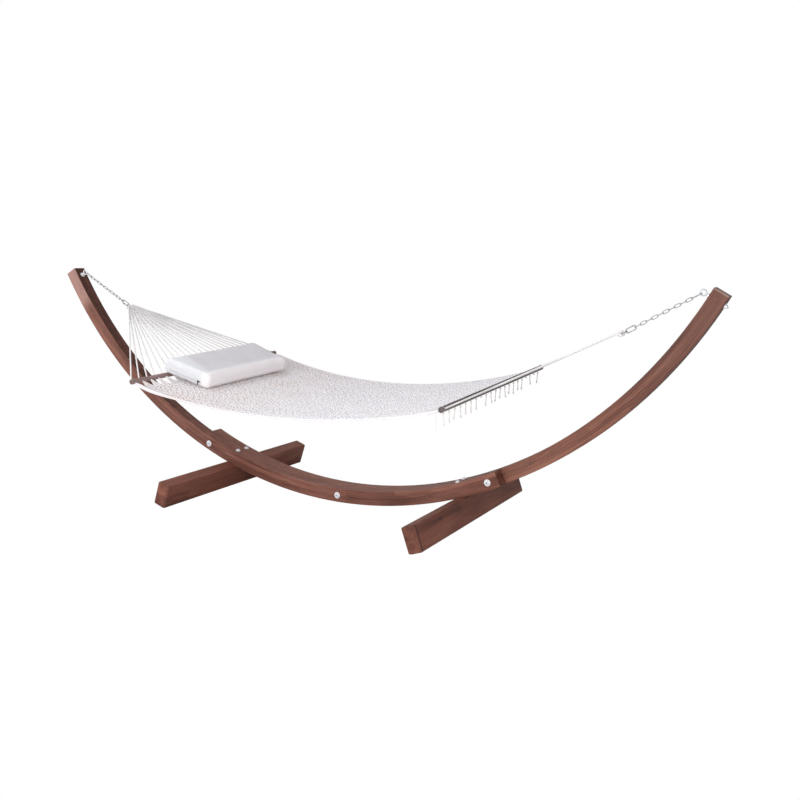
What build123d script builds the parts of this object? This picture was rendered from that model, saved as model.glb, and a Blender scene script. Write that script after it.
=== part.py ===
from build123d import *
import os
from math import atan2, cos, degrees, hypot, radians, sin, tan

# Rope hammock with spreader bars, hung between the tips of a curved timber stand.
# Millimetres. +X runs along the arc, +Y from the near beam to the far beam, +Z up.
# Origin: on the floor, under the middle of the stand.

# ---------------------------------------------------------------- stand
ARC_INNER_RADIUS = 2250.0
BEAM_DEPTH = 80.0
BEAM_WIDTH = 74.0
TIP_ANGLE = 61.2  # from straight down, at the arc's centre
OVERLAP_ANGLE = 25.2  # the two beams lie side by side between these angles
BEAM_EDGE_RADIUS = 4.0

FOOT_ANGLE = 19.0
FOOT_LENGTH = 1200.0
FOOT_WIDTH = 76.0
FOOT_HEIGHT = 134.0
FOOT_CHAMFER = 5.0
FLOOR_PLANING = 5.0  # the lower inner edge of each foot is planed flat by this much

ARC_BOLT_ANGLES = (-23.7, 0.0, 23.7)
ARC_BOLT_RADIUS = 6.0
ARC_BOLT_FLATS = 19.0
ARC_BOLT_HEAD = 7.5
ARC_WASHER_RADIUS = 18.0
FOOT_BOLT_RADIUS = 5.0
FOOT_BOLT_FLATS = 17.0
FOOT_BOLT_HEAD = 6.4
FOOT_WASHER_RADIUS = 14.0
FOOT_WASHER_THICKNESS = 2.5
FOOT_NUT_RECESS_RADIUS = 15.0
FOOT_NUT_RECESS_DEPTH = 24.0
BOLT_HOLE_CLEARANCE = 0.5
WASHER_THICKNESS = 3.0
NUT_THICKNESS = 9.0
EYE_NUT_THICKNESS = 8.0
BOLT_OVERHANG = 4.0  # thread beyond the nut
BOLT_HEAD_FILLET = 0.6
SEAT_GAP = 0.05  # flat washers stand this far off the curved timber

EYE_ANGLE = 60.0
EYE_WIRE_RADIUS = 3.0
EYE_INNER_RADIUS = 11.0
EYE_STANDOFF = 32.0  # ring centre to the beam's inner face
EYE_SHANK_RADIUS = 5.0
EYE_THREAD_OVERHANG = 18.0

# ---------------------------------------------------------------- hanging hardware
CHAIN_PITCH_ANGLE = 29.3  # below horizontal, from the eye towards the bed
LINK_GAP = 0.4
QUICK_LINK_WIRE = 5.0
QUICK_LINK_LENGTH = 46.0
QUICK_LINK_WIDTH = 14.0
CHAIN_LINKS = 10
CHAIN_WIRE = 4.0
CHAIN_LINK_LENGTH = 29.4
CHAIN_LINK_WIDTH = 9.0
HOOK_WIRE = 6.0
HOOK_LENGTH = 46.0
HOOK_WIDTH = 14.0
GATE_START = 13.0
GATE_END = 35.0
GATE_GAP = 0.6
GATE_RADIUS = 2.4
GATE_PIN_POSITION = 17.0
GATE_PIN_RADIUS = 1.2
GATE_PIN_CLEARANCE = 0.08
EAR_INNER = 3.0
EAR_OUTER = 4.4
EAR_LENGTH = 14.0
EAR_HEIGHT = 5.6
EAR_SHIFT = 1.0  # from the gate's start to the middle of the ears
EAR_ROOT_LENGTH = 5.0
EAR_ROOT_SHIFT = -3.5
PIN_PRESS_GAP = 0.02
PIN_OVERHANG = 0.5
RING_INNER_RADIUS = 14.0
RING_WIRE_RADIUS = 2.5

# ---------------------------------------------------------------- hammock
BAR_HALF_LENGTH = 605.0
BAR_RADIUS = 13.5
LEFT_BAR_TILT = 2.0  # far end a little higher than the near end
RIGHT_BAR_TILT = 2.7
BAR_NECK_RADIUS = 10.5
BAR_NECK_LENGTH = 10.0
BAR_KNOB_LENGTH = 12.0
BAR_KNOB_RADIUS = 14.5
BAR_KNOB_END_FILLET = 7.0
BAR_KNOB_NECK_FILLET = 3.0
BAR_SHOULDER_FILLET = 2.0
LEFT_BAR_X = -955.0
LEFT_BAR_Z = 697.0
RIGHT_BAR_X = 930.0
RIGHT_BAR_Z = 727.5

ROPE_COUNT = 20  # drilled ropes; one more is tied round the neck at each end of a bar
ROPE_SPAN = 1064.0
ROPE_RADIUS = 1.8
ROPE_HOLE_RADIUS = 3.0
ROPE_BEND = 7.0
HOLE_PITCH_ANGLE = 24.0
MOUTH_STANDOFF = 5.0
INNER_MOUTH_STANDOFF = 2.0
LACING_START = 3.0
LACING_OFFSET = 2.6
LACING_END_GAP = 1.0
CLEW_LAYER_OFFSET = 2.4
CLEW_FAN_ANGLE = 72.0
CLEW_START_GAP = 0.5
NECK_LOOP_RADIUS = 2.4
NECK_LOOP_GAP = 0.2
NECK_TIE_GAP = 0.6

BED_LEFT_X = -868.0
BED_RIGHT_X = 850.0
BED_LOW_X = -82.0
BED_LOW_Z = 579.0
BED_SAG_RATE = 0.000137  # rise per squared millimetre away from the lowest line
BED_TILT_MIDDLE = 0.018
BED_TILT_RATE = 0.00000004
BED_HALF_WIDTH = 572.0
BED_THICKNESS = 10.0
BED_SECTIONS = 13
EDGE_ROPE_RADIUS = 4.0
EDGE_ROPE_RUNS = 12
EDGE_ROPE_GAP = 0.6
ROPE_BEND_SHARE = 0.45  # of the shorter run beside a corner

KNOT_RADIUS = 4.2
KNOT_GAP = 0.3
KNOT_SHIFT = 6.1  # towards the clew side of the bar's axis
TAIL_RADIUS = 2.6
TAIL_LENGTH = 48.0
TAIL_LENGTH_SPREAD = 0.18
TAIL_LEAN_X = 5.0
TAIL_LEAN_Y = 6.0
TAIL_WAVE = 0.6
TAIL_STEPS = 4
TAIL_GAP = 0.5
TRIMMED_HOLES = (6, 16, 18)  # holes whose rope end is cut off at its knot
CORNER_TAIL_RADIUS = 1.5
CORNER_TAIL_LENGTH = 78.0
CORNER_TAIL_INSET = 32.0  # from the right bar's axis back towards the bed
CORNER_TAIL_DROP = 22.0  # from the bar's neck down to the string's upper end

# ---------------------------------------------------------------- pillow
PILLOW_LENGTH = 735.0
PILLOW_WIDTH = 318.0
PILLOW_THICKNESS = 90.0
PILLOW_X = -799.0
PILLOW_Y = -6.0
PILLOW_Z = 717.3
PILLOW_PITCH = 17.2
PILLOW_TILT = 2.1
PILLOW_FILLET = 27.0
COVER_THICKNESS = 2.0
COVER_GAP = 0.5
ZIP_LENGTH = 210.0
ZIP_DROP = 12.0  # below the middle of the pillow's near end
ZIP_WIDTH = 7.0
ZIP_THICKNESS = 1.2
SLIDER_LENGTH = 16.0
SLIDER_WIDTH = 8.0
SLIDER_THICKNESS = 3.0
SLIDER_GAP = 0.1
SLIDER_FILLET = 0.8
ZIP_SEAT_GAP = 0.05

os.makedirs("parts", exist_ok=True)

ARC_OUTER_RADIUS = ARC_INNER_RADIUS + BEAM_DEPTH
FOOT_REACH = (ARC_OUTER_RADIUS + FOOT_HEIGHT) * cos(radians(FOOT_ANGLE))
FOOT_LEAN = FOOT_WIDTH / 2 * sin(radians(FOOT_ANGLE))
ARC_CENTRE_Z = FOOT_REACH + FOOT_LEAN - FLOOR_PLANING


def save(piece, name):
    piece.part.label = name
    export_step(piece.part, f"parts/{name}.step")


def arc_point(radius, angle, y):
    a = radians(angle)
    return Vector(radius * sin(a), y, ARC_CENTRE_Z - radius * cos(a))


def radial_plane(radius, angle, y, inward=True):
    """Plane on the arc at a radius, facing the arc's centre or away from it."""
    a = radians(angle)
    normal = Vector(-sin(a), 0, cos(a))
    along = (cos(a), 0, sin(a))
    return Plane(origin=arc_point(radius, angle, y), x_dir=along, z_dir=normal if inward else -normal)


# ================================================================ stand
def arc_beam(front_y, start_angle, end_angle, foot_angles, eye_angle):
    """One bent timber of the arc; front_y is its face nearest the viewer."""
    mid_y = front_y + BEAM_WIDTH / 2
    sweep_angle = end_angle - start_angle
    bolt_hole = ARC_BOLT_RADIUS + BOLT_HOLE_CLEARANCE
    foot_hole = FOOT_BOLT_RADIUS + BOLT_HOLE_CLEARANCE
    eye_hole = EYE_SHANK_RADIUS + BOLT_HOLE_CLEARANCE
    with BuildPart() as beam:
        with BuildSketch(Plane.XZ.offset(-front_y - BEAM_WIDTH)):
            with BuildLine():
                centre = (0, ARC_CENTRE_Z)
                inner = CenterArc(centre, ARC_INNER_RADIUS, start_angle - 90, sweep_angle)
                outer = CenterArc(centre, ARC_OUTER_RADIUS, start_angle - 90, sweep_angle)
                Line(inner @ 0, outer @ 0)
                Line(inner @ 1, outer @ 1)
            make_face()
        extrude(amount=BEAM_WIDTH)
        long_edges = beam.edges().filter_by(GeomType.CIRCLE)
        fillet(long_edges, BEAM_EDGE_RADIUS)
        side_planes = [
            Plane(origin=arc_point(ARC_INNER_RADIUS + BEAM_DEPTH / 2, angle, mid_y), z_dir=(0, 1, 0))
            for angle in ARC_BOLT_ANGLES
        ]
        with Locations(*side_planes):
            Cylinder(bolt_hole, 2 * BEAM_WIDTH, mode=Mode.SUBTRACT)
        foot_planes = [
            radial_plane(ARC_INNER_RADIUS + BEAM_DEPTH / 2, angle, mid_y) for angle in foot_angles
        ]
        with Locations(*foot_planes):
            Cylinder(foot_hole, 2 * BEAM_DEPTH, mode=Mode.SUBTRACT)
        with Locations(radial_plane(ARC_INNER_RADIUS + BEAM_DEPTH / 2, eye_angle, mid_y)):
            Cylinder(eye_hole, 2 * BEAM_DEPTH, mode=Mode.SUBTRACT)
    return beam


near_arc_beam = arc_beam(
    -BEAM_WIDTH, -TIP_ANGLE, OVERLAP_ANGLE, (-FOOT_ANGLE, FOOT_ANGLE), -EYE_ANGLE
)
save(near_arc_beam, "near_arc_beam")
far_arc_beam = arc_beam(0, -OVERLAP_ANGLE, TIP_ANGLE, (-FOOT_ANGLE, FOOT_ANGLE), EYE_ANGLE)
save(far_arc_beam, "far_arc_beam")


def foot(side):
    """Straight cross foot, square to the arc above it, standing on its planed inner edge."""
    angle = side * FOOT_ANGLE
    a = radians(angle)
    section = Plane(
        origin=arc_point(ARC_OUTER_RADIUS, angle, -FOOT_LENGTH / 2),
        x_dir=(cos(a), 0, sin(a)),
        z_dir=(0, 1, 0),
    )
    bolt_planes = [
        radial_plane(ARC_OUTER_RADIUS + FOOT_HEIGHT, angle, y) for y in (-BEAM_WIDTH / 2, BEAM_WIDTH / 2)
    ]
    with BuildPart() as piece:
        with BuildSketch(section):
            Rectangle(FOOT_WIDTH, FOOT_HEIGHT, align=(Align.CENTER, Align.MIN))
        extrude(amount=FOOT_LENGTH)
        long_edges = piece.edges().filter_by(Axis.Y)
        chamfer(long_edges.sort_by(Axis.Z)[1:], FOOT_CHAMFER)
        ends = piece.faces().filter_by(Axis.Y)
        chamfer(ends.edges(), FOOT_CHAMFER / 2)
        with Locations(*bolt_planes):
            Cylinder(FOOT_BOLT_RADIUS + BOLT_HOLE_CLEARANCE, 2 * FOOT_HEIGHT + 20, mode=Mode.SUBTRACT)
            Cylinder(FOOT_NUT_RECESS_RADIUS, 2 * FOOT_NUT_RECESS_DEPTH, mode=Mode.SUBTRACT)
        split(bisect_by=Plane.XY, keep=Keep.TOP)
    return piece


left_foot = foot(-1)
save(left_foot, "left_foot")
right_foot = foot(1)
save(right_foot, "right_foot")


def bolts(planes, radius, flats, head_height, length):
    """Hexagon bolts whose heads sit on the planes and whose shanks run the other way."""
    with BuildPart() as group:
        with BuildSketch(*planes):
            Circle(radius)
        extrude(amount=-length)
        with BuildSketch(*planes):
            RegularPolygon(flats / 2, 6, major_radius=False)
        extrude(amount=head_height)
        rims = group.edges().filter_by(GeomType.LINE).filter_by(
            lambda edge: abs(edge.length - flats * tan(radians(30))) < 0.01
        )
        fillet(rims, BOLT_HEAD_FILLET)
    return group


def washers(planes, outer_radius, hole_radius, thickness):
    with BuildPart() as group:
        with BuildSketch(*planes):
            Circle(outer_radius)
            Circle(hole_radius, mode=Mode.SUBTRACT)
        extrude(amount=thickness)
    return group


def nuts(planes, flats, hole_radius, thickness):
    with BuildPart() as group:
        with BuildSketch(*planes):
            RegularPolygon(flats / 2, 6, major_radius=False)
            Circle(hole_radius, mode=Mode.SUBTRACT)
        extrude(amount=thickness)
    return group


def side_plane(angle, y, facing):
    centre = arc_point(ARC_INNER_RADIUS + BEAM_DEPTH / 2, angle, y)
    return Plane(origin=centre, x_dir=(1, 0, 0), z_dir=(0, facing, 0))


near_faces = [side_plane(angle, -BEAM_WIDTH, -1) for angle in ARC_BOLT_ANGLES]
far_faces = [side_plane(angle, BEAM_WIDTH, 1) for angle in ARC_BOLT_ANGLES]
washer_hole = ARC_BOLT_RADIUS + BOLT_HOLE_CLEARANCE / 2
nut_hole = ARC_BOLT_RADIUS + SEAT_GAP
bolt_reach = 2 * BEAM_WIDTH + 2 * WASHER_THICKNESS + NUT_THICKNESS + BOLT_OVERHANG

arc_bolts = bolts(
    [plane.offset(WASHER_THICKNESS) for plane in near_faces],
    ARC_BOLT_RADIUS,
    ARC_BOLT_FLATS,
    ARC_BOLT_HEAD,
    bolt_reach,
)
save(arc_bolts, "arc_bolts")
arc_bolt_washers = washers(near_faces + far_faces, ARC_WASHER_RADIUS, washer_hole, WASHER_THICKNESS)
save(arc_bolt_washers, "arc_bolt_washers")
arc_bolt_nuts = nuts(
    [plane.offset(WASHER_THICKNESS) for plane in far_faces], ARC_BOLT_FLATS, nut_hole, NUT_THICKNESS
)
save(arc_bolt_nuts, "arc_bolt_nuts")

FOOT_BOLT_PLACES = [
    (side * FOOT_ANGLE, y) for side in (-1, 1) for y in (-BEAM_WIDTH / 2, BEAM_WIDTH / 2)
]
top_seats = [radial_plane(ARC_INNER_RADIUS - SEAT_GAP, angle, y) for angle, y in FOOT_BOLT_PLACES]
recess_radius = ARC_OUTER_RADIUS + FOOT_HEIGHT - FOOT_NUT_RECESS_DEPTH
recess_seats = [radial_plane(recess_radius, angle, y, inward=False) for angle, y in FOOT_BOLT_PLACES]
foot_bolt_grip = recess_radius - ARC_INNER_RADIUS + 2 * FOOT_WASHER_THICKNESS
foot_bolt_length = foot_bolt_grip + NUT_THICKNESS + BOLT_OVERHANG

foot_bolts = bolts(
    [plane.offset(FOOT_WASHER_THICKNESS) for plane in top_seats],
    FOOT_BOLT_RADIUS,
    FOOT_BOLT_FLATS,
    FOOT_BOLT_HEAD,
    foot_bolt_length,
)
save(foot_bolts, "foot_bolts")
foot_bolt_washers = washers(
    top_seats + recess_seats,
    FOOT_WASHER_RADIUS,
    FOOT_BOLT_RADIUS + BOLT_HOLE_CLEARANCE / 2,
    FOOT_WASHER_THICKNESS,
)
save(foot_bolt_washers, "foot_bolt_washers")
foot_bolt_nuts = nuts(
    [plane.offset(FOOT_WASHER_THICKNESS) for plane in recess_seats],
    FOOT_BOLT_FLATS,
    FOOT_BOLT_RADIUS + SEAT_GAP,
    NUT_THICKNESS,
)
save(foot_bolt_nuts, "foot_bolt_nuts")


# ================================================================ eye bolts
EYE_CENTRE_RADIUS = ARC_INNER_RADIUS - EYE_STANDOFF
EYE_RING_MAJOR = EYE_INNER_RADIUS + EYE_WIRE_RADIUS


def eye_y(side):
    return side * BEAM_WIDTH / 2


def eye_bolt(side):
    """Ring standing in the arc's own plane, on a threaded shank through the beam's tip."""
    centre = arc_point(EYE_CENTRE_RADIUS, side * EYE_ANGLE, eye_y(side))
    outward = radial_plane(EYE_CENTRE_RADIUS, side * EYE_ANGLE, eye_y(side), inward=False)
    reach = EYE_STANDOFF + BEAM_DEPTH + EYE_THREAD_OVERHANG
    with BuildPart() as piece:
        with Locations(Plane(origin=centre, z_dir=(0, 1, 0))):
            Torus(EYE_RING_MAJOR, EYE_WIRE_RADIUS)
        with BuildSketch(outward.offset(EYE_RING_MAJOR)):
            Circle(EYE_SHANK_RADIUS)
        extrude(amount=reach - EYE_RING_MAJOR)
    return piece


left_eye_bolt = eye_bolt(-1)
save(left_eye_bolt, "left_eye_bolt")
right_eye_bolt = eye_bolt(1)
save(right_eye_bolt, "right_eye_bolt")

eye_seats = []
for side in (-1, 1):
    eye_seats.append(radial_plane(ARC_INNER_RADIUS - SEAT_GAP, side * EYE_ANGLE, eye_y(side)))
    eye_seats.append(radial_plane(ARC_OUTER_RADIUS + SEAT_GAP, side * EYE_ANGLE, eye_y(side), inward=False))
eye_bolt_washers = washers(
    eye_seats, FOOT_WASHER_RADIUS, EYE_SHANK_RADIUS + BOLT_HOLE_CLEARANCE / 2, FOOT_WASHER_THICKNESS
)
save(eye_bolt_washers, "eye_bolt_washers")
eye_bolt_nuts = nuts(
    [plane.offset(FOOT_WASHER_THICKNESS) for plane in eye_seats],
    FOOT_BOLT_FLATS,
    EYE_SHANK_RADIUS + SEAT_GAP,
    EYE_NUT_THICKNESS,
)
save(eye_bolt_nuts, "eye_bolt_nuts")


# ================================================================ chains and hooks
def bar_centre(side):
    if side < 0:
        return Vector(LEFT_BAR_X, 0, LEFT_BAR_Z)
    return Vector(RIGHT_BAR_X, 0, RIGHT_BAR_Z)


def chain_direction(side):
    """Unit vector from the eye towards the bed: straight in plan to the middle of the bar."""
    eye = arc_point(EYE_CENTRE_RADIUS, side * EYE_ANGLE, eye_y(side))
    level = bar_centre(side) - eye
    level = Vector(level.X, level.Y, 0).normalized()
    pitch = radians(CHAIN_PITCH_ANGLE)
    return level * cos(pitch) - Vector(0, 0, sin(pitch))


def chain_plane(side, distance, flat):
    """Plane on the chain line, +X along the chain, measured from the eye ring's inside.

    A flat plane holds the level cross direction; an upright one holds the vertical.
    """
    eye = arc_point(EYE_CENTRE_RADIUS, side * EYE_ANGLE, eye_y(side))
    along = chain_direction(side)
    level = Vector(-along.Y, along.X, 0).normalized()
    normal = along.cross(level) if flat else level
    origin = eye + along * (EYE_INNER_RADIUS + distance)
    return Plane(origin=origin, x_dir=along, z_dir=normal)


def oval_link(wire, inner_length, inner_width):
    """Closed oval of round wire in XY, its first inside end at the origin, its length along +X."""
    bend = (inner_width + wire) / 2
    first = inner_width / 2
    last = inner_length - first
    with BuildPart() as oval:
        with BuildLine() as course:
            Line((first, -bend), (last, -bend))
            CenterArc((last, 0), bend, -90, 180)
            Line((last, bend), (first, bend))
            CenterArc((first, 0), bend, 90, 180)
        with BuildSketch(Plane(origin=(first, -bend, 0), x_dir=(0, 1, 0), z_dir=(1, 0, 0))):
            Circle(wire / 2)
        sweep(path=course.wire())
    return oval.part


QUICK_START = -LINK_GAP
CHAIN_START = QUICK_START + QUICK_LINK_LENGTH - LINK_GAP
CHAIN_STEP = CHAIN_LINK_LENGTH - LINK_GAP
CHAIN_END = CHAIN_START + (CHAIN_LINKS - 1) * CHAIN_STEP + CHAIN_LINK_LENGTH
HOOK_START = CHAIN_END - LINK_GAP
RING_RADIUS = RING_INNER_RADIUS + RING_WIRE_RADIUS
RING_CENTRE = HOOK_START + HOOK_LENGTH - LINK_GAP + RING_INNER_RADIUS


def quick_link(side):
    with BuildPart() as piece:
        with Locations(chain_plane(side, QUICK_START, flat=True)):
            add(oval_link(QUICK_LINK_WIRE, QUICK_LINK_LENGTH, QUICK_LINK_WIDTH))
    return piece


def chain(side):
    planes = [
        chain_plane(side, CHAIN_START + index * CHAIN_STEP, flat=index % 2 == 1)
        for index in range(CHAIN_LINKS)
    ]
    link = oval_link(CHAIN_WIRE, CHAIN_LINK_LENGTH, CHAIN_LINK_WIDTH)
    with BuildPart() as group:
        with Locations(*planes):
            add(link)
    return group


def snap_hook(side):
    """Oval of round wire, open where the gate lies, with two ears that hold the gate's pin."""
    plane = chain_plane(side, HOOK_START, flat=False)
    bend = (HOOK_WIDTH + HOOK_WIRE) / 2
    first = HOOK_WIDTH / 2
    last = HOOK_LENGTH - first
    ear_middle = (EAR_INNER + EAR_OUTER) / 2
    with BuildPart(plane) as piece:
        with BuildLine(plane) as course:
            Line((GATE_START, bend), (first, bend))
            CenterArc((first, 0), bend, 90, 180)
            Line((first, -bend), (last, -bend))
            CenterArc((last, 0), bend, -90, 180)
            Line((last, bend), (GATE_END, bend))
        with BuildSketch(Plane(origin=course.wire() @ 0, z_dir=course.wire() % 0)):
            Circle(HOOK_WIRE / 2)
        sweep(path=course.wire())
        ear_x = GATE_START + EAR_SHIFT
        with Locations((ear_x, bend, ear_middle), (ear_x, bend, -ear_middle)):
            Box(EAR_LENGTH, EAR_HEIGHT, EAR_OUTER - EAR_INNER)
        with Locations((GATE_START + EAR_ROOT_SHIFT, bend, 0)):
            Box(EAR_ROOT_LENGTH, EAR_HEIGHT, 2 * EAR_OUTER)
        with Locations((GATE_PIN_POSITION, bend, 0)):
            Cylinder(GATE_PIN_RADIUS + PIN_PRESS_GAP, 3 * EAR_OUTER, mode=Mode.SUBTRACT)
    return piece


def hook_pin(side):
    plane = chain_plane(side, HOOK_START, flat=False)
    bend = (HOOK_WIDTH + HOOK_WIRE) / 2
    with BuildPart(plane) as piece:
        with Locations((GATE_PIN_POSITION, bend, 0)):
            Cylinder(GATE_PIN_RADIUS, 2 * (EAR_OUTER + PIN_OVERHANG))
    return piece


def hook_gate(side):
    plane = chain_plane(side, HOOK_START, flat=False)
    bend = (HOOK_WIDTH + HOOK_WIRE) / 2
    length = GATE_END - GATE_START - 2 * GATE_GAP
    with BuildPart(plane) as piece:
        with Locations(((GATE_START + GATE_END) / 2, bend, 0)):
            Cylinder(GATE_RADIUS, length, rotation=(0, 90, 0))
        with Locations((GATE_PIN_POSITION, bend, 0)):
            Cylinder(GATE_PIN_RADIUS + GATE_PIN_CLEARANCE, 3 * EAR_OUTER, mode=Mode.SUBTRACT)
    return piece


def clew_ring(side):
    plane = chain_plane(side, RING_CENTRE, flat=True)
    with BuildPart() as piece:
        with Locations(plane):
            Torus(RING_RADIUS, RING_WIRE_RADIUS)
    return piece


for side, name in ((-1, "left"), (1, "right")):
    save(quick_link(side), f"{name}_quick_link")
    save(chain(side), f"{name}_chain")
    save(snap_hook(side), f"{name}_snap_hook")
    save(hook_pin(side), f"{name}_hook_pin")
    save(hook_gate(side), f"{name}_hook_gate")
    save(clew_ring(side), f"{name}_clew_ring")


# ================================================================ spreader bars
def bar_axis(side):
    tilt = radians(LEFT_BAR_TILT if side < 0 else RIGHT_BAR_TILT)
    return Vector(0, cos(tilt), sin(tilt))


def hole_direction(side):
    """Unit vector through a bar's rope holes, from the bed side out to the clew side."""
    a = radians(HOLE_PITCH_ANGLE)
    upright = Vector(1, 0, 0).cross(bar_axis(side))
    return Vector(side, 0, 0) * cos(a) + upright * sin(a)


def rope_offsets(count, span):
    return [-span / 2 + span * index / (count - 1) for index in range(count)]


def hole_centre(side, offset):
    return bar_centre(side) + bar_axis(side) * offset


def spreader_bar(side):
    """Turned bar with a neck and a knob at each end, drilled for the ropes."""
    knob_start = BAR_HALF_LENGTH - BAR_KNOB_LENGTH
    neck_start = knob_start - BAR_NECK_LENGTH
    axis = bar_axis(side)
    axis_plane = Plane(origin=bar_centre(side), x_dir=(1, 0, 0), z_dir=axis)
    ends = [
        Plane(origin=hole_centre(side, sign * neck_start), x_dir=(1, 0, 0), z_dir=axis * sign)
        for sign in (-1, 1)
    ]
    knobs = [end.offset(BAR_NECK_LENGTH) for end in ends]
    drilled = [
        Plane(origin=hole_centre(side, offset), x_dir=axis, z_dir=hole_direction(side))
        for offset in rope_offsets(ROPE_COUNT, ROPE_SPAN)
    ]
    with BuildPart() as piece:
        with BuildSketch(axis_plane):
            Circle(BAR_RADIUS)
        extrude(amount=neck_start, both=True)
        with BuildSketch(*ends):
            Circle(BAR_NECK_RADIUS)
        extrude(amount=BAR_NECK_LENGTH)
        with BuildSketch(*knobs):
            Circle(BAR_KNOB_RADIUS)
        extrude(amount=BAR_KNOB_LENGTH)
        rims = piece.edges().filter_by(GeomType.CIRCLE).filter_by(
            lambda edge: abs(edge.radius - BAR_KNOB_RADIUS) < 0.01
        )
        rims = rims.sort_by(Axis.Y)
        fillet([rims[0], rims[-1]], BAR_KNOB_END_FILLET)
        fillet([rims[1], rims[-2]], BAR_KNOB_NECK_FILLET)
        shoulders = piece.edges().filter_by(GeomType.CIRCLE).filter_by(
            lambda edge: abs(edge.radius - BAR_RADIUS) < 0.01
        )
        fillet(shoulders, BAR_SHOULDER_FILLET)
        with Locations(*drilled):
            Cylinder(ROPE_HOLE_RADIUS, 4 * BAR_RADIUS, mode=Mode.SUBTRACT)
    return piece


left_spreader_bar = spreader_bar(-1)
save(left_spreader_bar, "left_spreader_bar")
right_spreader_bar = spreader_bar(1)
save(right_spreader_bar, "right_spreader_bar")


# ================================================================ neck loops
NECK_OFFSET = BAR_HALF_LENGTH - BAR_KNOB_LENGTH - BAR_NECK_LENGTH / 2
NECK_LOOP_MAJOR = BAR_NECK_RADIUS + NECK_LOOP_RADIUS + NECK_LOOP_GAP


def neck_side_point(side, way, outwards, radius):
    """Point beside a neck loop, on its clew side or its bed side, for a rope of a given radius."""
    reach = NECK_LOOP_MAJOR + NECK_LOOP_RADIUS + radius + NECK_TIE_GAP
    return hole_centre(side, way * NECK_OFFSET) + hole_direction(side) * (reach * outwards)


with BuildPart() as neck_loops:
    loop_planes = [
        Plane(origin=hole_centre(side, way * NECK_OFFSET), x_dir=(1, 0, 0), z_dir=bar_axis(side))
        for side in (-1, 1)
        for way in (-1, 1)
    ]
    with Locations(*loop_planes):
        Torus(NECK_LOOP_MAJOR, NECK_LOOP_RADIUS)
save(neck_loops, "neck_loops")


# ================================================================ clew ropes
def clew_rope_points(side, index, offset):
    """Ring side, outer mouth and inner mouth of one clew rope, counted across the fan."""
    ring = chain_plane(side, RING_CENTRE, flat=True)
    reach = RING_RADIUS + RING_WIRE_RADIUS + ROPE_RADIUS + CLEW_START_GAP
    share = 2 * index / (ROPE_COUNT + 1) - 1
    to_bar = (bar_centre(side) - ring.origin).normalized()
    axis = bar_axis(side)
    across = (axis - to_bar * axis.dot(to_bar)).normalized()
    lift = to_bar.cross(across).normalized()
    a = radians(CLEW_FAN_ANGLE * share)
    layer = CLEW_LAYER_OFFSET if index % 2 else -CLEW_LAYER_OFFSET
    start = ring.origin + to_bar * (reach * cos(a)) + across * (reach * sin(a)) + lift * layer
    out = hole_direction(side)
    middle = hole_centre(side, offset)
    outer_mouth = middle + out * (BAR_RADIUS + MOUTH_STANDOFF)
    inner_mouth = middle - out * (BAR_RADIUS + INNER_MOUTH_STANDOFF)
    return [start, outer_mouth, inner_mouth]


def clew_ropes(side):
    """Ropes from the ring through the bar, and the two outer ones to the loops on its necks."""
    with BuildPart() as group:
        for index, offset in enumerate(rope_offsets(ROPE_COUNT, ROPE_SPAN)):
            points = clew_rope_points(side, index + 1, offset)
            with BuildLine() as course:
                FilletPolyline(*points, radius=ROPE_BEND)
            with BuildSketch(Plane(origin=course.wire() @ 0, z_dir=course.wire() % 0)):
                Circle(ROPE_RADIUS)
            sweep(path=course.wire())
        for index, way in ((0, -1), (ROPE_COUNT + 1, 1)):
            start = clew_rope_points(side, index, way * NECK_OFFSET)[0]
            end = neck_side_point(side, way, 1, ROPE_RADIUS)
            with BuildSketch(Plane(origin=start, z_dir=end - start)):
                Circle(ROPE_RADIUS)
            extrude(amount=(end - start).length)
    return group


left_clew_ropes = clew_ropes(-1)
save(left_clew_ropes, "left_clew_ropes")
right_clew_ropes = clew_ropes(1)
save(right_clew_ropes, "right_clew_ropes")


# ================================================================ bed
def bed_height(x, y):
    """Middle of the bed's thickness."""
    tilt = BED_TILT_MIDDLE + BED_TILT_RATE * x * x
    return BED_LOW_Z + BED_SAG_RATE * (x - BED_LOW_X) ** 2 + tilt * y


def bed_section(x):
    left = bed_height(x, -BED_HALF_WIDTH)
    right = bed_height(x, BED_HALF_WIDTH)
    half = BED_THICKNESS / 2
    return [
        (-BED_HALF_WIDTH, left - half),
        (BED_HALF_WIDTH, right - half),
        (BED_HALF_WIDTH, right + half),
        (-BED_HALF_WIDTH, left + half),
    ]


bed_step = (BED_RIGHT_X - BED_LEFT_X) / (BED_SECTIONS - 1)
with BuildPart() as bed:
    for index in range(BED_SECTIONS):
        x = BED_LEFT_X + index * bed_step
        with BuildSketch(Plane.YZ.offset(x)):
            Polygon(*bed_section(x), align=None)
    loft(ruled=True)
save(bed, "bed")


def lacing(side):
    """Ropes that run in a zigzag between the bar's holes and the end of the bed."""
    offsets = rope_offsets(ROPE_COUNT, ROPE_SPAN)
    step = offsets[1] - offsets[0]
    bed_x = BED_LEFT_X if side < 0 else BED_RIGHT_X
    bed_end_x = bed_x + side * (ROPE_RADIUS + LACING_END_GAP)
    limit = BED_HALF_WIDTH - ROPE_RADIUS
    with BuildPart() as group:
        for offset in offsets:
            mouth = hole_centre(side, offset) - hole_direction(side) * (BAR_RADIUS + LACING_START)
            for way in (-1, 1):
                start = mouth + bar_axis(side) * (way * LACING_OFFSET)
                end_y = offset + way * (step / 2 - LACING_OFFSET)
                end_y = max(-limit, min(limit, end_y))
                end = Vector(bed_end_x, end_y, bed_height(bed_end_x, end_y))
                with BuildSketch(Plane(origin=start, z_dir=end - start)):
                    Circle(ROPE_RADIUS)
                extrude(amount=(end - start).length)
    return group


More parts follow.
